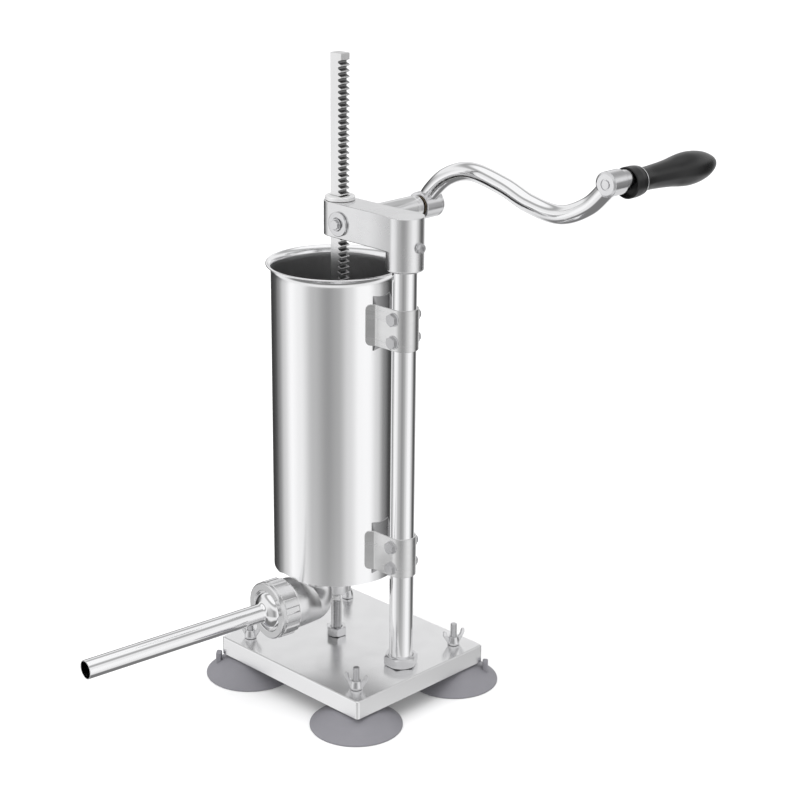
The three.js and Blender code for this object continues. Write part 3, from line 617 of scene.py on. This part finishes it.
def strap_line():
    """The strap's middle line in plan: a foot at the barrel, a flat side, round the column and back."""
    column_low, column_high = span("column")
    column_radius = (column_high.x - column_low.x) / 2
    middle_line = column_radius + 0.35 + STRAP_SHEET / 2
    fold = 41
    foot = [(34.4, -17.6), (fold, -middle_line, 4), (fold + 6, -middle_line)]
    near = rounded(foot, steps=6)
    line = []
    for a, b in zip(near, near[1:]):
        line += [a, (a + b) / 2]
    whole = [*line, near[-1], *arc(middle("column").x, middle_line, -90, 90, 32)]
    whole += [*mirrored([near[-1]]), *mirrored(line)]
    return with_corners([p for i, p in enumerate(whole) if i == 0 or (p - whole[i - 1]).length > 0.05])


def with_corners(line, stretch=4.6, count=12):
    """The line with extra points near both ends, where the sheet's corners are rounded."""
    along = (line[1] - line[0]).normalized() * stretch
    near = [line[0].lerp(line[0] + along, (i / count) ** 1.5) for i in range(count)]
    kept = [p for p in line if min((p - line[0]).length, (p - line[-1]).length) > stretch]
    return [*near, *kept, *mirrored(near)]


def bracket_line():
    """The bracket's middle line in plan: two legs under the strap and a web against the barrel."""
    reach = BARREL_RADIUS + GAP + 0.75
    half_web = 9.8
    swing = math.degrees(math.asin(half_web / reach))
    leg = [Vector((49 - k * 1.5, -half_web)) for k in range(8)]
    return [*leg, *arc(BARREL_X, reach, -swing, swing, 12), *mirrored(leg)]


def bracket_tall(point, left):
    """Half the bracket's height: tall at the barrel, low under the strap."""
    t = min(max((point.x - 35.6) / 4, 0), 1)
    return 24.6 - 7.4 * t * t * (3 - 2 * t)


def clamps():
    for level in LEVELS:
        at = (0, 0, middle(f"clamp_strap_{level}").z)
        low, high = span(f"clamp_strap_{level}")
        half = (high.z - low.z) / 2
        corner = 4.5

        def strap_reach(point, left):
            cut = max(corner - left, 0)
            return half - (corner - math.sqrt(max(corner**2 - cut**2, 0)))

        strap = ribbon(strap_line(), STRAP_SHEET, strap_reach)
        piece(f"clamp_strap_{level}", strap, SHEET, at=at, sharp=50)
        bracket = ribbon(bracket_line(), 1.3, bracket_tall)
        # The bracket's darker steel is painted shade.
        piece(f"barrel_bracket_{level}", bracket, BRACKET_SHADE_SHEET, at=at, sharp=50)
        for row in ("top", "bottom"):
            clamp_bolt(level, row)


def clamp_bolt(level, row):
    node = f"clamp_bolt_{level}_{row}"
    low, high = span(node)
    at = (middle(node).x, 0, middle(node).z)
    face = CLAMP_FACE
    nut_low, nut_high = span(f"clamp_nut_{level}_{row}")
    washer = turned(rounded([(3, -face - 1), (6, -face - 1, 0.3), (6, -face, 0.3), (3, -face)], closed=True))
    head = hexed(10, low.y, -face - 1, chamfer=0.7)
    shank = threaded(3, 1, -face, nut_high.y - 0.9)
    piece(node, joined(washer, head, shank), BOLT, at=at, turn=ALONG_Y)
    ring = turned(rounded([(3.2, face), (6, face, 0.3), (6, face + 1, 0.3), (3.2, face + 1)], closed=True))
    nut = hexed(8, face + 1, nut_high.y - 1.4, bore=3)
    piece(f"clamp_nut_{level}_{row}", joined(ring, nut), BOLT, at=at, turn=ALONG_Y)


# ---- outlet ----


def elbow():
    pipe, leg, clear, wall = 9.8, OUTLET_REACH, 1.5, 2
    pivot_y, pivot_z = -(leg + pipe + clear), 57
    low = 23  # the lowest line under the bend
    # Past the bend the pipe widens: how far out, its highest and its lowest line.
    horn = [
        (28.8, 55.5, low),
        (32, 58, low),
        (36, 61.5, low),
        (41, 65.5, low),
        (48, 69, low),
        (57.2, 69, 22.8),
    ]
    line = smooth_line([Vector(p) for p in horn], 6)
    shoulder = [Vector((58, 68.4, 23.4)), Vector((58.2, 67.2, 24.4)), Vector((70, 67.2, 24.4))]

    def sections(shrink, top):
        made = [(Vector((0, -leg, z)), Vector((0, 0, -1)), pipe - shrink) for z in (top, (top + pivot_z) / 2)]
        steps = 24
        for k in range(steps + 1):
            share = k / steps
            a = math.pi / 2 * share
            narrow = 2 * pipe + clear
            far = narrow + (pivot_z - low - narrow) * share**2 * (3 - 2 * share)
            half = (clear + far) / 2
            at = Vector((0, pivot_y + half * math.cos(a), pivot_z - half * math.sin(a)))
            made.append((at, Vector((0, -math.sin(a), -math.cos(a))), (far - clear) / 2 - shrink))
        for reach, highest, lowest in [*line[1:], *shoulder]:
            at = Vector((0, -reach, (highest + lowest) / 2))
            made.append((at, Vector((0, -1, 0)), (highest - lowest) / 2 - shrink))
        return made

    top = span("discharge_elbow")[1].z
    outside = lofted(sections(0, top))
    inside = lofted(sections(wall, top))
    tube = skinned([*outside, *reversed(inside)], closed=True)
    lug_profile = [
        (0.5, 43.5),
        (10.6, 43.5, 0.8),
        (11.5, 44.6, 0.8),
        (11.5, top - 4, 3),
        (14, top),
        (0.5, top),
    ]
    lug = turned(rounded(lug_profile), closed=False)
    bore = turned([(DRAIN_RADIUS, 50), (DRAIN_RADIUS, top + 9)], closed=False)
    bore.transform(Matrix.Translation((0, -leg, 0)))
    boss = combined(lug, [bore])
    collar_profile = [(9.9, top - 7), (10.4, top - 3.4, 2), (13, top), (9.9, top)]
    collar = turned(rounded(collar_profile, closed=True))
    collar.transform(Matrix.Translation((0, -leg, 0)))
    whole = joined(tube, boss, collar)
    piece("discharge_elbow", whole, SATIN_CAST, at=(BARREL_X, 0, 0), turn=OUTLET_TURN, sharp=50)


NUT_FACE = 78.7  # from the barrel's axis to the coupling nut's front


def coupling():
    back, face = 58.6, NUT_FACE
    groove, pad, opening, thread = 25.2, 1.0, 18.5, 22
    # (radius, distance out, whether the pads are raised there)
    profile = [
        (thread, back, 0),
        (groove - 0.8, back, 0),
        (groove - 0.2, back + 0.5, 0),
        (groove, back + 0.9, 1),
        (groove, face - 5.2, 1),
        (groove - 0.3, face - 4.6, 0),
        (groove - 0.3, face - 4.1, 0),
        (groove + 0.6, face - 3.7, 0),
        (groove + 0.7, face - 1.2, 0),
        (groove + 0.3, face - 0.4, 0),
        (groove - 0.5, face, 0),
        (opening + 0.8, face, 0),
        (opening + 0.2, face - 0.3, 0),
        (opening, face - 0.9, 0),
        (opening, face - 4, 0),
        (thread, face - 4, 0),
    ]
    sides = 288
    rings = []
    for radius, height, raised in profile:
        ring = []
        for i in range(sides):
            a = 2 * math.pi * i / sides
            off = abs((math.degrees(a) + 15) % 30 - 15)
            step = min(max((9.6 - off) / 1.2, 0), 1)
            r = radius + pad * raised * step
            ring.append((r * math.cos(a), r * math.sin(a), height))
        rings.append(ring)
    piece("coupling_nut", skinned(rings, closed=True), NUT_CAST, turn=TO_OUTLET, sharp=25)


def nozzle():
    tip, radius, wall = 263.7, 8.4, 0.8
    cone = [
        (16.4, 74.4),
        (16.3, 76.6),
        (15.6, 78.8),
        (13.9, 80.8),
        (11.4, 82.4),
        (9.3, 83.8),
        (8.5, 85.6),
        (radius, 88),
    ]
    outer = smooth_line([Vector(p) for p in cone], 4)
    bore = radius - wall
    end = rounded([(radius, tip - 2), (radius, tip, 0.35), (bore, tip, 0.35), (bore, tip - 2)])
    inner = [(bore, 87), (9.6, 83), (12.6, 80), (14, 77)]
    flange = rounded([(14, 72.3), (20.5, 72.3, 0.4), (20.5, 74, 0.4), (16.4, 74)])
    piece("nozzle", turned([*flange, *outer, *end, *inner]), POLISHED, turn=TO_OUTLET)
    ring = rounded([(14.5, 70.3, 0.4), (19.5, 70.3, 0.4), (19.5, 71.9, 0.4), (14.5, 71.9, 0.4)], closed=True)
    piece("nozzle_gasket", turned(ring), SEAL, turn=TO_OUTLET)


def support():
    low, high = span("support_screw")
    at = (middle("support_screw").x, 0, 0)
    shoulder = high.z - 5
    tip = [
        (0.4, shoulder - 1),
        (4, shoulder - 1, 0.2),
        (4.3, shoulder, 0.4),
        (4.3, high.z - 2, 0.6),
        (2.6, high.z, 0.3),
        (0.4, high.z),
    ]
    screw = joined(threaded(5, 1.5, low.z, shoulder, sides=48), turned(rounded(tip), closed=False))

    # The screw's rounded tip takes the paler, less metallic collar material: a painted highlight on its end.
    def on_tip(face):
        return face.calc_center_median().z > shoulder - 0.5

    piece("support_screw", screw, THREAD, at=at, sharp=60, inside=(COLLAR_AND_TIP_HIGHLIGHT, on_tip))
    bottom, top = span("support_nut")
    nut = hexed(17, bottom.z, top.z, bore=5.3)
    piece("support_nut", nut, PLATED, at=at, turn=Matrix.Rotation(math.radians(-8), 4, "Z"))


# ---- head and drive ----

SHAFT = Vector((middle("shaft_housing").x, 0, middle("shaft_housing").z))
RACK_X = middle("rack").x
MODULE = 1.5875  # of the rack and pinion
TEETH = 10


def head():
    low, high = span("head_casting")
    column_x = middle("column").x
    half, sleeve, arm_bottom = 14, 16.2, 382
    nose = arc(RACK_X, half, 90, 270, 40)
    blend = 190  # radius of the blend from the arm into the sleeve
    reach = math.sqrt((sleeve + blend) ** 2 - (half + blend) ** 2)
    fillet_x = column_x - reach
    swing = math.degrees(math.atan2(reach, half + blend))
    turn_in = arc(fillet_x, blend, 90, 90 - swing, 8)
    turn_in = [Vector((p.x, p.y - half - blend)) for p in turn_in]
    turn_out = [Vector((p.x, -p.y)) for p in reversed(turn_in)]
    round_sleeve = arc(column_x, sleeve, -90 - swing, 90 + swing, 72)[1:-1]
    outline = [*nose, *turn_in, *round_sleeve, *turn_out]

    def inset(distance):
        made = []
        for i, point in enumerate(outline):
            along = outline[(i + 1) % len(outline)] - outline[i - 1]
            made.append(point + Vector((-along.y, along.x)).normalized() * distance)
        return made

    edge = rounded([(1.6, arm_bottom), (0, arm_bottom, 1.2), (0, high.z, 1.0), (1.6, high.z)], steps=5)
    arm = skinned([[(p.x, p.y, z) for p in inset(distance)] for distance, z in edge])
    inside = arm_bottom + 6  # where the sleeve ends inside the arm
    cup = rounded([(0.5, low.z), (sleeve, low.z, 2.2), (sleeve, inside), (0.5, inside)], steps=6)
    post = turned(cup, closed=False)
    post.transform(Matrix.Translation((column_x, 0, 0)))
    whole = combined(arm, [post], "UNION")
    bore_radius = 10.95
    bore = turned([(bore_radius, low.z - 5), (bore_radius, 401.3)], closed=False)
    bore.transform(Matrix.Translation((column_x, 0, 0)))
    rack_low, rack_high = span("rack")
    room = 0.5

    def rack_slot(bottom, top):
        corner_low = (rack_low.x - room, rack_low.y - room, bottom)
        corner_high = (rack_high.x + room, rack_high.y + room, top)
        return block(corner_low, corner_high, 0.2, 1)

    pocket = turned([(9.8, -16), (9.8, 7.5)], closed=False)
    pocket.transform(Matrix.Translation(SHAFT) @ ALONG_Y)
    piece("head_casting", combined(whole, [bore, rack_slot(360, 440), pocket]), CAST, sharp=40)

    bottom, top = span("rack_guide_collar")
    outer = (top.x - bottom.x) / 2
    profile = [(0.5, bottom.z), (outer, bottom.z, 0.3), (outer, top.z, 0.9), (0.5, top.z)]
    ring = turned(rounded(profile), closed=False)
    ring.transform(Matrix.Translation((RACK_X, 0, 0)))
    piece("rack_guide_collar", combined(ring, [rack_slot(400, 440)]), COLLAR_AND_TIP_HIGHLIGHT, sharp=40)

    screw_low, screw_high = span("head_set_screw")
    seat = column_x + sleeve
    profile = [(0.4, seat + 0.1), (4.6, seat + 0.1, 0.3), (4.6, seat + 0.9, 0.3), (0.4, seat + 0.9)]
    washer = turned(rounded(profile), closed=False)
    hexagon = hexed(7.4, seat + 0.9, screw_high.x - 0.3, chamfer=0.8)
    socket = turned([(2.2, screw_high.x - 2), (2.2, screw_high.x + 2)], closed=False, sides=6)
    shank = turned([(3, screw_low.x), (3, seat + 0.5)], closed=False, sides=48)
    bolt = joined(washer, combined(hexagon, [socket]), shank)
    piece("head_set_screw", bolt, PLATED, at=(0, 0, middle("head_set_screw").z), turn=ALONG_X)


def shaft_parts():
    low, high = span("shaft_housing")
    radius = (high.x - low.x) / 2
    end = high.y
    profile = [
        (6.5, low.y),
        (radius, low.y, 0.3),
        (radius, end - 6.6, 0.2),
        (radius - 0.4, end - 6.2, 0.2),
        (radius - 0.4, end - 5.6, 0.2),
        (radius, end - 5.2, 0.2),
        (radius, end, 0.8),
        (8.3, end, 0.3),
        (8.3, end - 11),
        (6.5, end - 11),
    ]
    piece("shaft_housing", turned(rounded(profile, closed=True)), CAST, at=SHAFT, turn=ALONG_Y)
    low, high = span("rear_bush")
    profile = [
        (6.2, low.y),
        (8, low.y, 0.4),
        (8, end + GAP),
        (8.6, end + GAP, 0.2),
        (8.6, high.y, 0.3),
        (6.2, high.y, 0.2),
    ]
    piece("rear_bush", turned(rounded(profile, closed=True)), BRONZE, at=SHAFT, turn=ALONG_Y)
    low, high = span("front_bush")
    flange = (high.x - low.x) / 2
    profile = [
        (5.8, low.y, 0.3),
        (flange, low.y, 0.6),
        (flange, low.y + 2, 0.2),
        (9.5, low.y + 2),
        (9.5, high.y, 0.3),
        (5.8, high.y),
    ]
    piece("front_bush", turned(rounded(profile, closed=True)), PLATED, at=SHAFT, turn=ALONG_Y)


def pinion():
    half = 6.5
    pitch_radius = MODULE * TEETH / 2
    tip = pitch_radius + 1.55
    outline = []
    shape = ((6.1, 0.3), (6.7, 0.22), (pitch_radius, 0.165), (8.9, 0.1), (tip, 0.05))
    for k in range(TEETH):
        middle_turn = math.pi + 2 * math.pi * k / TEETH
        outline += [(radius, middle_turn - width) for radius, width in shape]
        outline += [(radius, middle_turn + width) for radius, width in reversed(shape)]
    around = [(r * math.cos(a), r * math.sin(a)) for r, a in outline]
    gear = prism(around, -half, half, bevel=0.25, segments=2)
    journal = turned(rounded([(0.4, -15), (5.6, -15, 0.4), (5.6, 1 - half), (0.4, 1 - half)]), closed=False)
    shaft_end = span("pinion_shaft")[1].y
    profile = [(0.4, half - 1), (6, half - 1), (6, shaft_end, 0.5), (0.4, shaft_end)]
    rear = turned(rounded(profile), closed=False)
    piece("pinion_shaft", joined(gear, journal, rear), PLATED, at=SHAFT, turn=ALONG_Y)

    low, high = span("shaft_end_screw")
    seat = span("front_bush")[0].y - GAP
    profile = [(0.4, seat - 0.9), (5.3, seat - 0.9, 0.3), (5.3, seat, 0.3), (0.4, seat)]
    flange = turned(rounded(profile), closed=False)
    hexagon = hexed(8, low.y + 0.2, seat - 0.9, chamfer=0.9)
    shank = turned([(2, seat - 0.5), (2, -9)], closed=False, sides=32)
    piece("shaft_end_screw", joined(flange, hexagon, shank), PLATED, at=SHAFT, turn=ALONG_Y)


# The arm's centre line in X and Z, from the shaft, with the same points as the CAD.
CRANK_LINE = [
    (0, 4),
    (7, 13.5),
    (25, 29),
    (51.2, 37.6),
    (91.3, 31),
    (121, 21.1),
    (154.5, 17.7),
    (183.8, 30.3),
    (202.5, 48),
]


def crank():
    low, high = span("crank_hub")
    radius = (high.x - low.x) / 2
    profile = [
        (6.1, low.y),
        (radius, low.y, 0.8),
        (radius, high.y - 3.2, 0.2),
        (radius - 0.5, high.y - 2.9, 0.1),
        (radius - 0.5, high.y - 2.5, 0.1),
        (radius, high.y - 2.2, 0.2),
        (radius, high.y, 0.8),
        (6.1, high.y),
    ]
    piece("crank_hub", turned(rounded(profile, closed=True)), PLATED, at=SHAFT, turn=ALONG_Y)

    plane = middle("crank_arm").y
    line = smooth_line([Vector(p) for p in CRANK_LINE], 20)
    rod, sides = 8, 48
    rings = []
    for i, point in enumerate(line):
        along = (line[min(i + 1, len(line) - 1)] - line[max(i - 1, 0)]).normalized()
        side = Vector((-along.y, 0, along.x))
        centre = Vector((point.x, 0, point.y))
        turns = (2 * math.pi * k / sides for k in range(sides))
        rings.append([centre + rod * (side * math.cos(a) + Vector((0, math.sin(a), 0))) for a in turns])
    piece("crank_arm", skinned(rings), POLISHED, at=SHAFT + Vector((0, plane, 0)))

    low, high = span("crank_end_boss")
    centre = Vector((middle("crank_end_boss").x, 0, middle("crank_end_boss").z))
    front = 85
    profile = [
        (0.4, front - 0.4),
        (3.7, front - 0.4, 0.3),
        (3.8, front + 0.7),
        (4.6, front + 0.7),
        (4.7, front, 0.2),
        (8.7, front, 0.2),
        (10.7, front + 0.9, 0.5),
        (10.7, front + 17, 0.6),
        (9, front + 18, 0.3),
        (9, high.y, 0.4),
        (0.4, high.y),
    ]
    piece("crank_end_boss", turned(rounded(profile), closed=False), PLATED, at=centre, turn=ALONG_Y)


def handle():
    low, high = span("handle_spindle")
    at = Vector((middle("handle_spindle").x, 0, middle("handle_spindle").z))
    pin = (high.x - low.x) / 2
    profile = [(0.4, low.y), (pin, low.y, 0.4), (pin, high.y, 0.6), (0.4, high.y)]
    piece("handle_spindle", turned(rounded(profile), closed=False), PLATED, at=at, turn=ALONG_Y)

    low, high = span("handle_ferrule")
    radius = (high.x - low.x) / 2
    bore = pin + 0.4
    profile = [
        (12.1, low.y),
        (radius - 0.5, low.y),
        (radius, low.y + 0.6, 0.4),
        (radius, low.y + 8, 3),
        (radius - 0.4, high.y - 1.8, 0.6),
        (radius - 1.6, high.y, 0.5),
        (bore, high.y),
        (bore, low.y + 5),
        (12.1, low.y + 5),
    ]
    piece("handle_ferrule", turned(rounded(profile, closed=True)), BLACK, at=at, turn=ALONG_Y)

    low, high = span("handle_grip")
    start, end = low.y, high.y
    profile = [(bore, start, 0.2), (12.3, start, 0.3), (12.3, start + 0.9, 0.3), (bore, start + 0.9, 0.2)]
    ring = turned(rounded(profile, closed=True))
    piece("handle_grip", ring, PLATED, at=at, turn=ALONG_Y, name="grip_ring")
    shape = [
        (10.3, start + 1.6),
        (10.1, start + 5),
        (9.8, start + 13),
        (10.2, start + 22),
        (10.9, start + 33),
        (11.9, start + 44),
        (13.3, start + 54),
        (14.2, start + 64),
        (14.1, start + 72),
        (13.1, start + 81),
        (11.1, start + 90),
        (8.4, start + 97),
        (6.6, start + 100.6),
        (4.6, start + 103.4),
        (2.6, start + 105),
        (0.5, end),
    ]
    outer = smooth_line([Vector(p) for p in shape], 5)
    inner = [(0.4, end - 16), (bore, end - 16), (bore, start + 1.2)]
    mouth = rounded([(bore, start + 1.2), (9.9, start + 1.2, 0.3), (10.3, start + 1.6)])
    profile = [*inner, *mouth[1:-1], *outer]
    piece("handle_grip", turned(profile, closed=False, sides=128), BLACK, at=at, turn=ALONG_Y, sharp=50)


def rack():
    low, high = span("rack")
    pitch = math.pi * MODULE
    addendum, dedendum, backlash = MODULE, 1.95, 0.3
    flank = math.tan(math.radians(20))
    pitch_x = high.x - addendum
    root_x = pitch_x - dedendum
    half = pitch / 4 - backlash / 2
    tip_half = half - addendum * flank
    root_half = half + dedendum * flank
    outline = [(low.x, high.z), (low.x, low.z), (root_x, low.z)]
    first = math.ceil((low.z + 9 - SHAFT.z) / pitch)
    last = math.floor((high.z - 3 - SHAFT.z) / pitch) - 1
    for i in range(first, last + 1):
        z = SHAFT.z + (i + 0.5) * pitch
        outline += [(root_x, z - root_half), (high.x, z - tip_half)]
        outline += [(high.x, z + tip_half), (root_x, z + root_half)]
    top = SHAFT.z + (last + 1.5) * pitch
    outline += [(root_x, top - root_half), (high.x, top - tip_half), (high.x, high.z)]
    bar = prism(outline, -high.y, -low.y)

    # The flanks and roots between the teeth take the darker steel: painted shade in the tooth spaces.
    def in_shaded_tooth_space(face):
        at, way = face.calc_center_median(), face.normal
        on_tip = way.x > 0.9 and at.x > high.x - 0.1
        return at.x > root_x - 0.1 and abs(way.y) < 0.5 and not on_tip and at.z < high.z - 0.1

    piece("rack", bar, RACK_STEEL, turn=UPRIGHT, bevel=0.2, sharp=30, inside=(TOOTH_SPACE_SHADE, in_shaded_tooth_space))


def ram():
    low, high = span("piston_disc")
    radius = (high.x - low.x) / 2
    centre = middle("piston_disc").x
    seal_low, seal_high = span("piston_seal")
    profile = [
        (0.5, low.z),
        (radius - 3, low.z, 0.5),
        (radius, low.z + 1.6, 0.6),
        (radius, seal_low.z - GAP),
        (49.6, seal_low.z - GAP),
        (49.6, seal_high.z + GAP),
        (radius, seal_high.z + GAP),
        (radius, high.z - 1, 0.5),
        (radius - 1.5, high.z, 0.5),
        (44, high.z, 0.5),
        (43, high.z - 1.2, 0.5),
        (24, high.z - 1.2, 0.5),
        (23, high.z, 0.5),
        (0.5, high.z),
    ]
    disc = turned(rounded(profile), closed=False, sides=128)
    bolt_low, bolt_high = span("piston_bolt")
    bolt_x = middle("piston_bolt").x
    valve_x = middle("air_valve").x
    holes = []
    for x, hole, bottom, top in ((bolt_x, 8, low.z - 2, low.z + 5.5), (valve_x, 2.9, low.z - 2, high.z + 2)):
        cutter = turned([(hole, bottom), (hole, top)], closed=False, sides=48)
        cutter.transform(Matrix.Translation((x - centre, 0, 0)))
        holes.append(cutter)
    piece("piston_disc", combined(disc, holes), WHITE, at=(centre, 0, 0), sharp=40)
    outer = (seal_high.x - seal_low.x) / 2
    ring = [
        (50, seal_low.z, 0.6),
        (outer, seal_low.z, 1.6),
        (outer, seal_high.z, 1.6),
        (50, seal_high.z, 0.6),
    ]
    piece("piston_seal", turned(rounded(ring, closed=True), sides=160), SEAL, at=(centre, 0, 0))
    hexagon = hexed(13, bolt_low.z, bolt_low.z + 5)
    profile = [(0.4, bolt_low.z + 4), (4, bolt_low.z + 4), (4, bolt_high.z, 0.5), (0.4, bolt_high.z)]
    shank = turned(rounded(profile), closed=False)
    piece("piston_bolt", joined(hexagon, shank), PLATED, at=(bolt_x, 0, 0))
    low, high = span("air_valve")
    cap = (high.x - low.x) / 2
    profile = [
        (0.4, low.z),
        (2.6, low.z, 0.4),
        (2.6, high.z - 2.7),
        (cap, high.z - 2.7, 0.3),
        (cap, high.z - 1.2, 0.8),
        (cap - 2, high.z, 0.8),
        (1.2, high.z, 0.3),
        (0.8, high.z - 0.6),
        (0.3, high.z - 0.6),
    ]
    piece("air_valve", turned(rounded(profile), closed=False, sides=64), SEAL, at=(valve_x, 0, 0))


# ---- stage ----

# The studio round the object: degrees from +X, and how bright it is there.
STUDIO = [
    (-180, 0.08),
    (-166, 0.26),
    (-150, 0.64),
    (-130, 1.0),
    (-110, 0.88),
    (-85, 0.5),
    (-57, 0.31),
    (-40, 0.4),
    (-20, 0.7),
    (0, 0.98),
    (18, 1.0),
    (37, 0.68),
    (53, 0.24),
    (69, 0.05),
    (86, 0.2),
    (102, 0.62),
    (118, 1.0),
    (132, 0.4),
    (145, 0.1),
    (162, 0.045),
    (180, 0.08),
]

# Above and below the walls: the height where each layer starts and is full, and how bright it is.
# A height is the Z part of a direction, from -1 straight down to 1 straight up.
LAYERS = [
    (0.05, 0.28, 0.88),
    (0.42, 0.66, 0.4),
    (0.7, 0.85, 1.0),
    (-0.42, -0.52, 0.85),
    (-0.66, -0.8, 0.2),
]


def studio_world():
    """Soft bright and dark walls all round, with a pale ceiling."""
    world = bpy.data.worlds.new("studio")
    bpy.context.scene.world = world
    world.use_nodes = True
    nodes, links = world.node_tree.nodes, world.node_tree.links
    background = nodes["Background"]
    coordinate = nodes.new("ShaderNodeTexCoord")
    parts = nodes.new("ShaderNodeSeparateXYZ")
    links.new(coordinate.outputs["Generated"], parts.inputs["Vector"])
    bearing = nodes.new("ShaderNodeMath")
    bearing.operation = "ARCTAN2"
    links.new(parts.outputs["Y"], bearing.inputs[0])
    links.new(parts.outputs["X"], bearing.inputs[1])
    share = nodes.new("ShaderNodeMapRange")
    share.inputs["From Min"].default_value = -math.pi
    share.inputs["From Max"].default_value = math.pi
    links.new(bearing.outputs["Value"], share.inputs["Value"])
    walls = nodes.new("ShaderNodeValToRGB")
    walls.color_ramp.interpolation = "EASE"
    stops = walls.color_ramp.elements
    while len(stops) < len(STUDIO):
        stops.new(0.5)
    for stop, (degrees, bright) in zip(stops, STUDIO):
        stop.position = (degrees + 180) / 360
        stop.color = (bright, bright, bright * 1.005, 1)
    links.new(share.outputs["Result"], walls.inputs["Fac"])

    def blended(low, high, source, colour):
        """source fades to one colour between two heights of the direction."""
        height = nodes.new("ShaderNodeMapRange")
        height.interpolation_type = "SMOOTHSTEP"
        height.inputs["From Min"].default_value = low
        height.inputs["From Max"].default_value = high
        links.new(parts.outputs["Z"], height.inputs["Value"])
        mix = nodes.new("ShaderNodeMix")
        mix.data_type = "RGBA"
        mix.inputs["B"].default_value = (*colour, 1)
        links.new(height.outputs["Result"], mix.inputs["Factor"])
        links.new(source, mix.inputs["A"])
        return mix.outputs["Result"]

    lit = walls.outputs["Color"]
    for low, high, bright in LAYERS:
        lit = blended(low, high, lit, (bright, bright, bright * 1.005))

    # The object is lit more than it shows, and the empty background is plain white.
    path = nodes.new("ShaderNodeLightPath")
    strength = nodes.new("ShaderNodeMapRange")
    strength.inputs["To Min"].default_value = 1.0
    strength.inputs["To Max"].default_value = 1.75
    links.new(path.outputs["Is Diffuse Ray"], strength.inputs["Value"])
    seen = nodes.new("ShaderNodeMix")
    seen.data_type = "RGBA"
    seen.inputs["B"].default_value = (1, 1, 1, 1)
    links.new(path.outputs["Is Camera Ray"], seen.inputs["Factor"])
    links.new(lit, seen.inputs["A"])
    links.new(seen.outputs["Result"], background.inputs["Color"])
    links.new(strength.outputs["Result"], background.inputs["Strength"])


def floor():
    under = 0.0002  # m, so that the feet don't touch it
    bm = bmesh.new()
    bmesh.ops.create_grid(bm, x_segments=1, y_segments=1, size=6)
    mesh = bpy.data.meshes.new("floor")
    bm.to_mesh(mesh)
    bm.free()
    made = bpy.data.objects.new("floor", mesh)
    made.location.z = cad_bounds[0][2] - under
    bpy.context.scene.collection.objects.link(made)
    pale = bpy.data.materials.new("pale_floor")
    pale.use_nodes = True
    surface = pale.node_tree.nodes["Principled BSDF"]
    surface.inputs["Base Color"].default_value = (0.9, 0.9, 0.9, 1)
    surface.inputs["Roughness"].default_value = 0.9
    surface.inputs["Specular IOR Level"].default_value = 0
    mesh.materials.append(pale)
    made.visible_glossy = False


def lamp(name, place, aim, size, power):
    light = bpy.data.lights.new(name, "AREA")
    light.energy = power
    light.size = size
    made = bpy.data.objects.new(name, light)
    made.location = place
    made.rotation_euler = (Vector(aim) - Vector(place)).to_track_quat("-Z", "Y").to_euler()
    made.visible_glossy = False
    bpy.context.scene.collection.objects.link(made)


def camera():
    lens = bpy.data.cameras.new("camera")
    lens.lens = 86.06
    lens.sensor_width = 36
    lens.clip_start = 0.05
    made = bpy.data.objects.new("camera", lens)
    right = Vector((0.71121, 0.70291, 0.00945))
    up = Vector((-0.23822, 0.22834, 0.94399))
    back = right.cross(up)
    turn = Matrix((right, up, back)).transposed().to_4x4()
    made.matrix_world = Matrix.Translation((1.14242, -1.10337, 0.78940)) @ turn
    bpy.context.scene.collection.objects.link(made)
    bpy.context.scene.camera = made


camera()
studio_world()
floor()
lamp("key", (0.2, -1.6, 1.9), (0, 0, 0.2), 1.4, 14)
bpy.context.scene.view_settings.view_transform = "Standard"

base_plate()
feet()
column()
barrel()
clamps()
elbow()
coupling()
nozzle()
support()
head()
shaft_parts()
pinion()
crank()
handle()
rack()
ram()
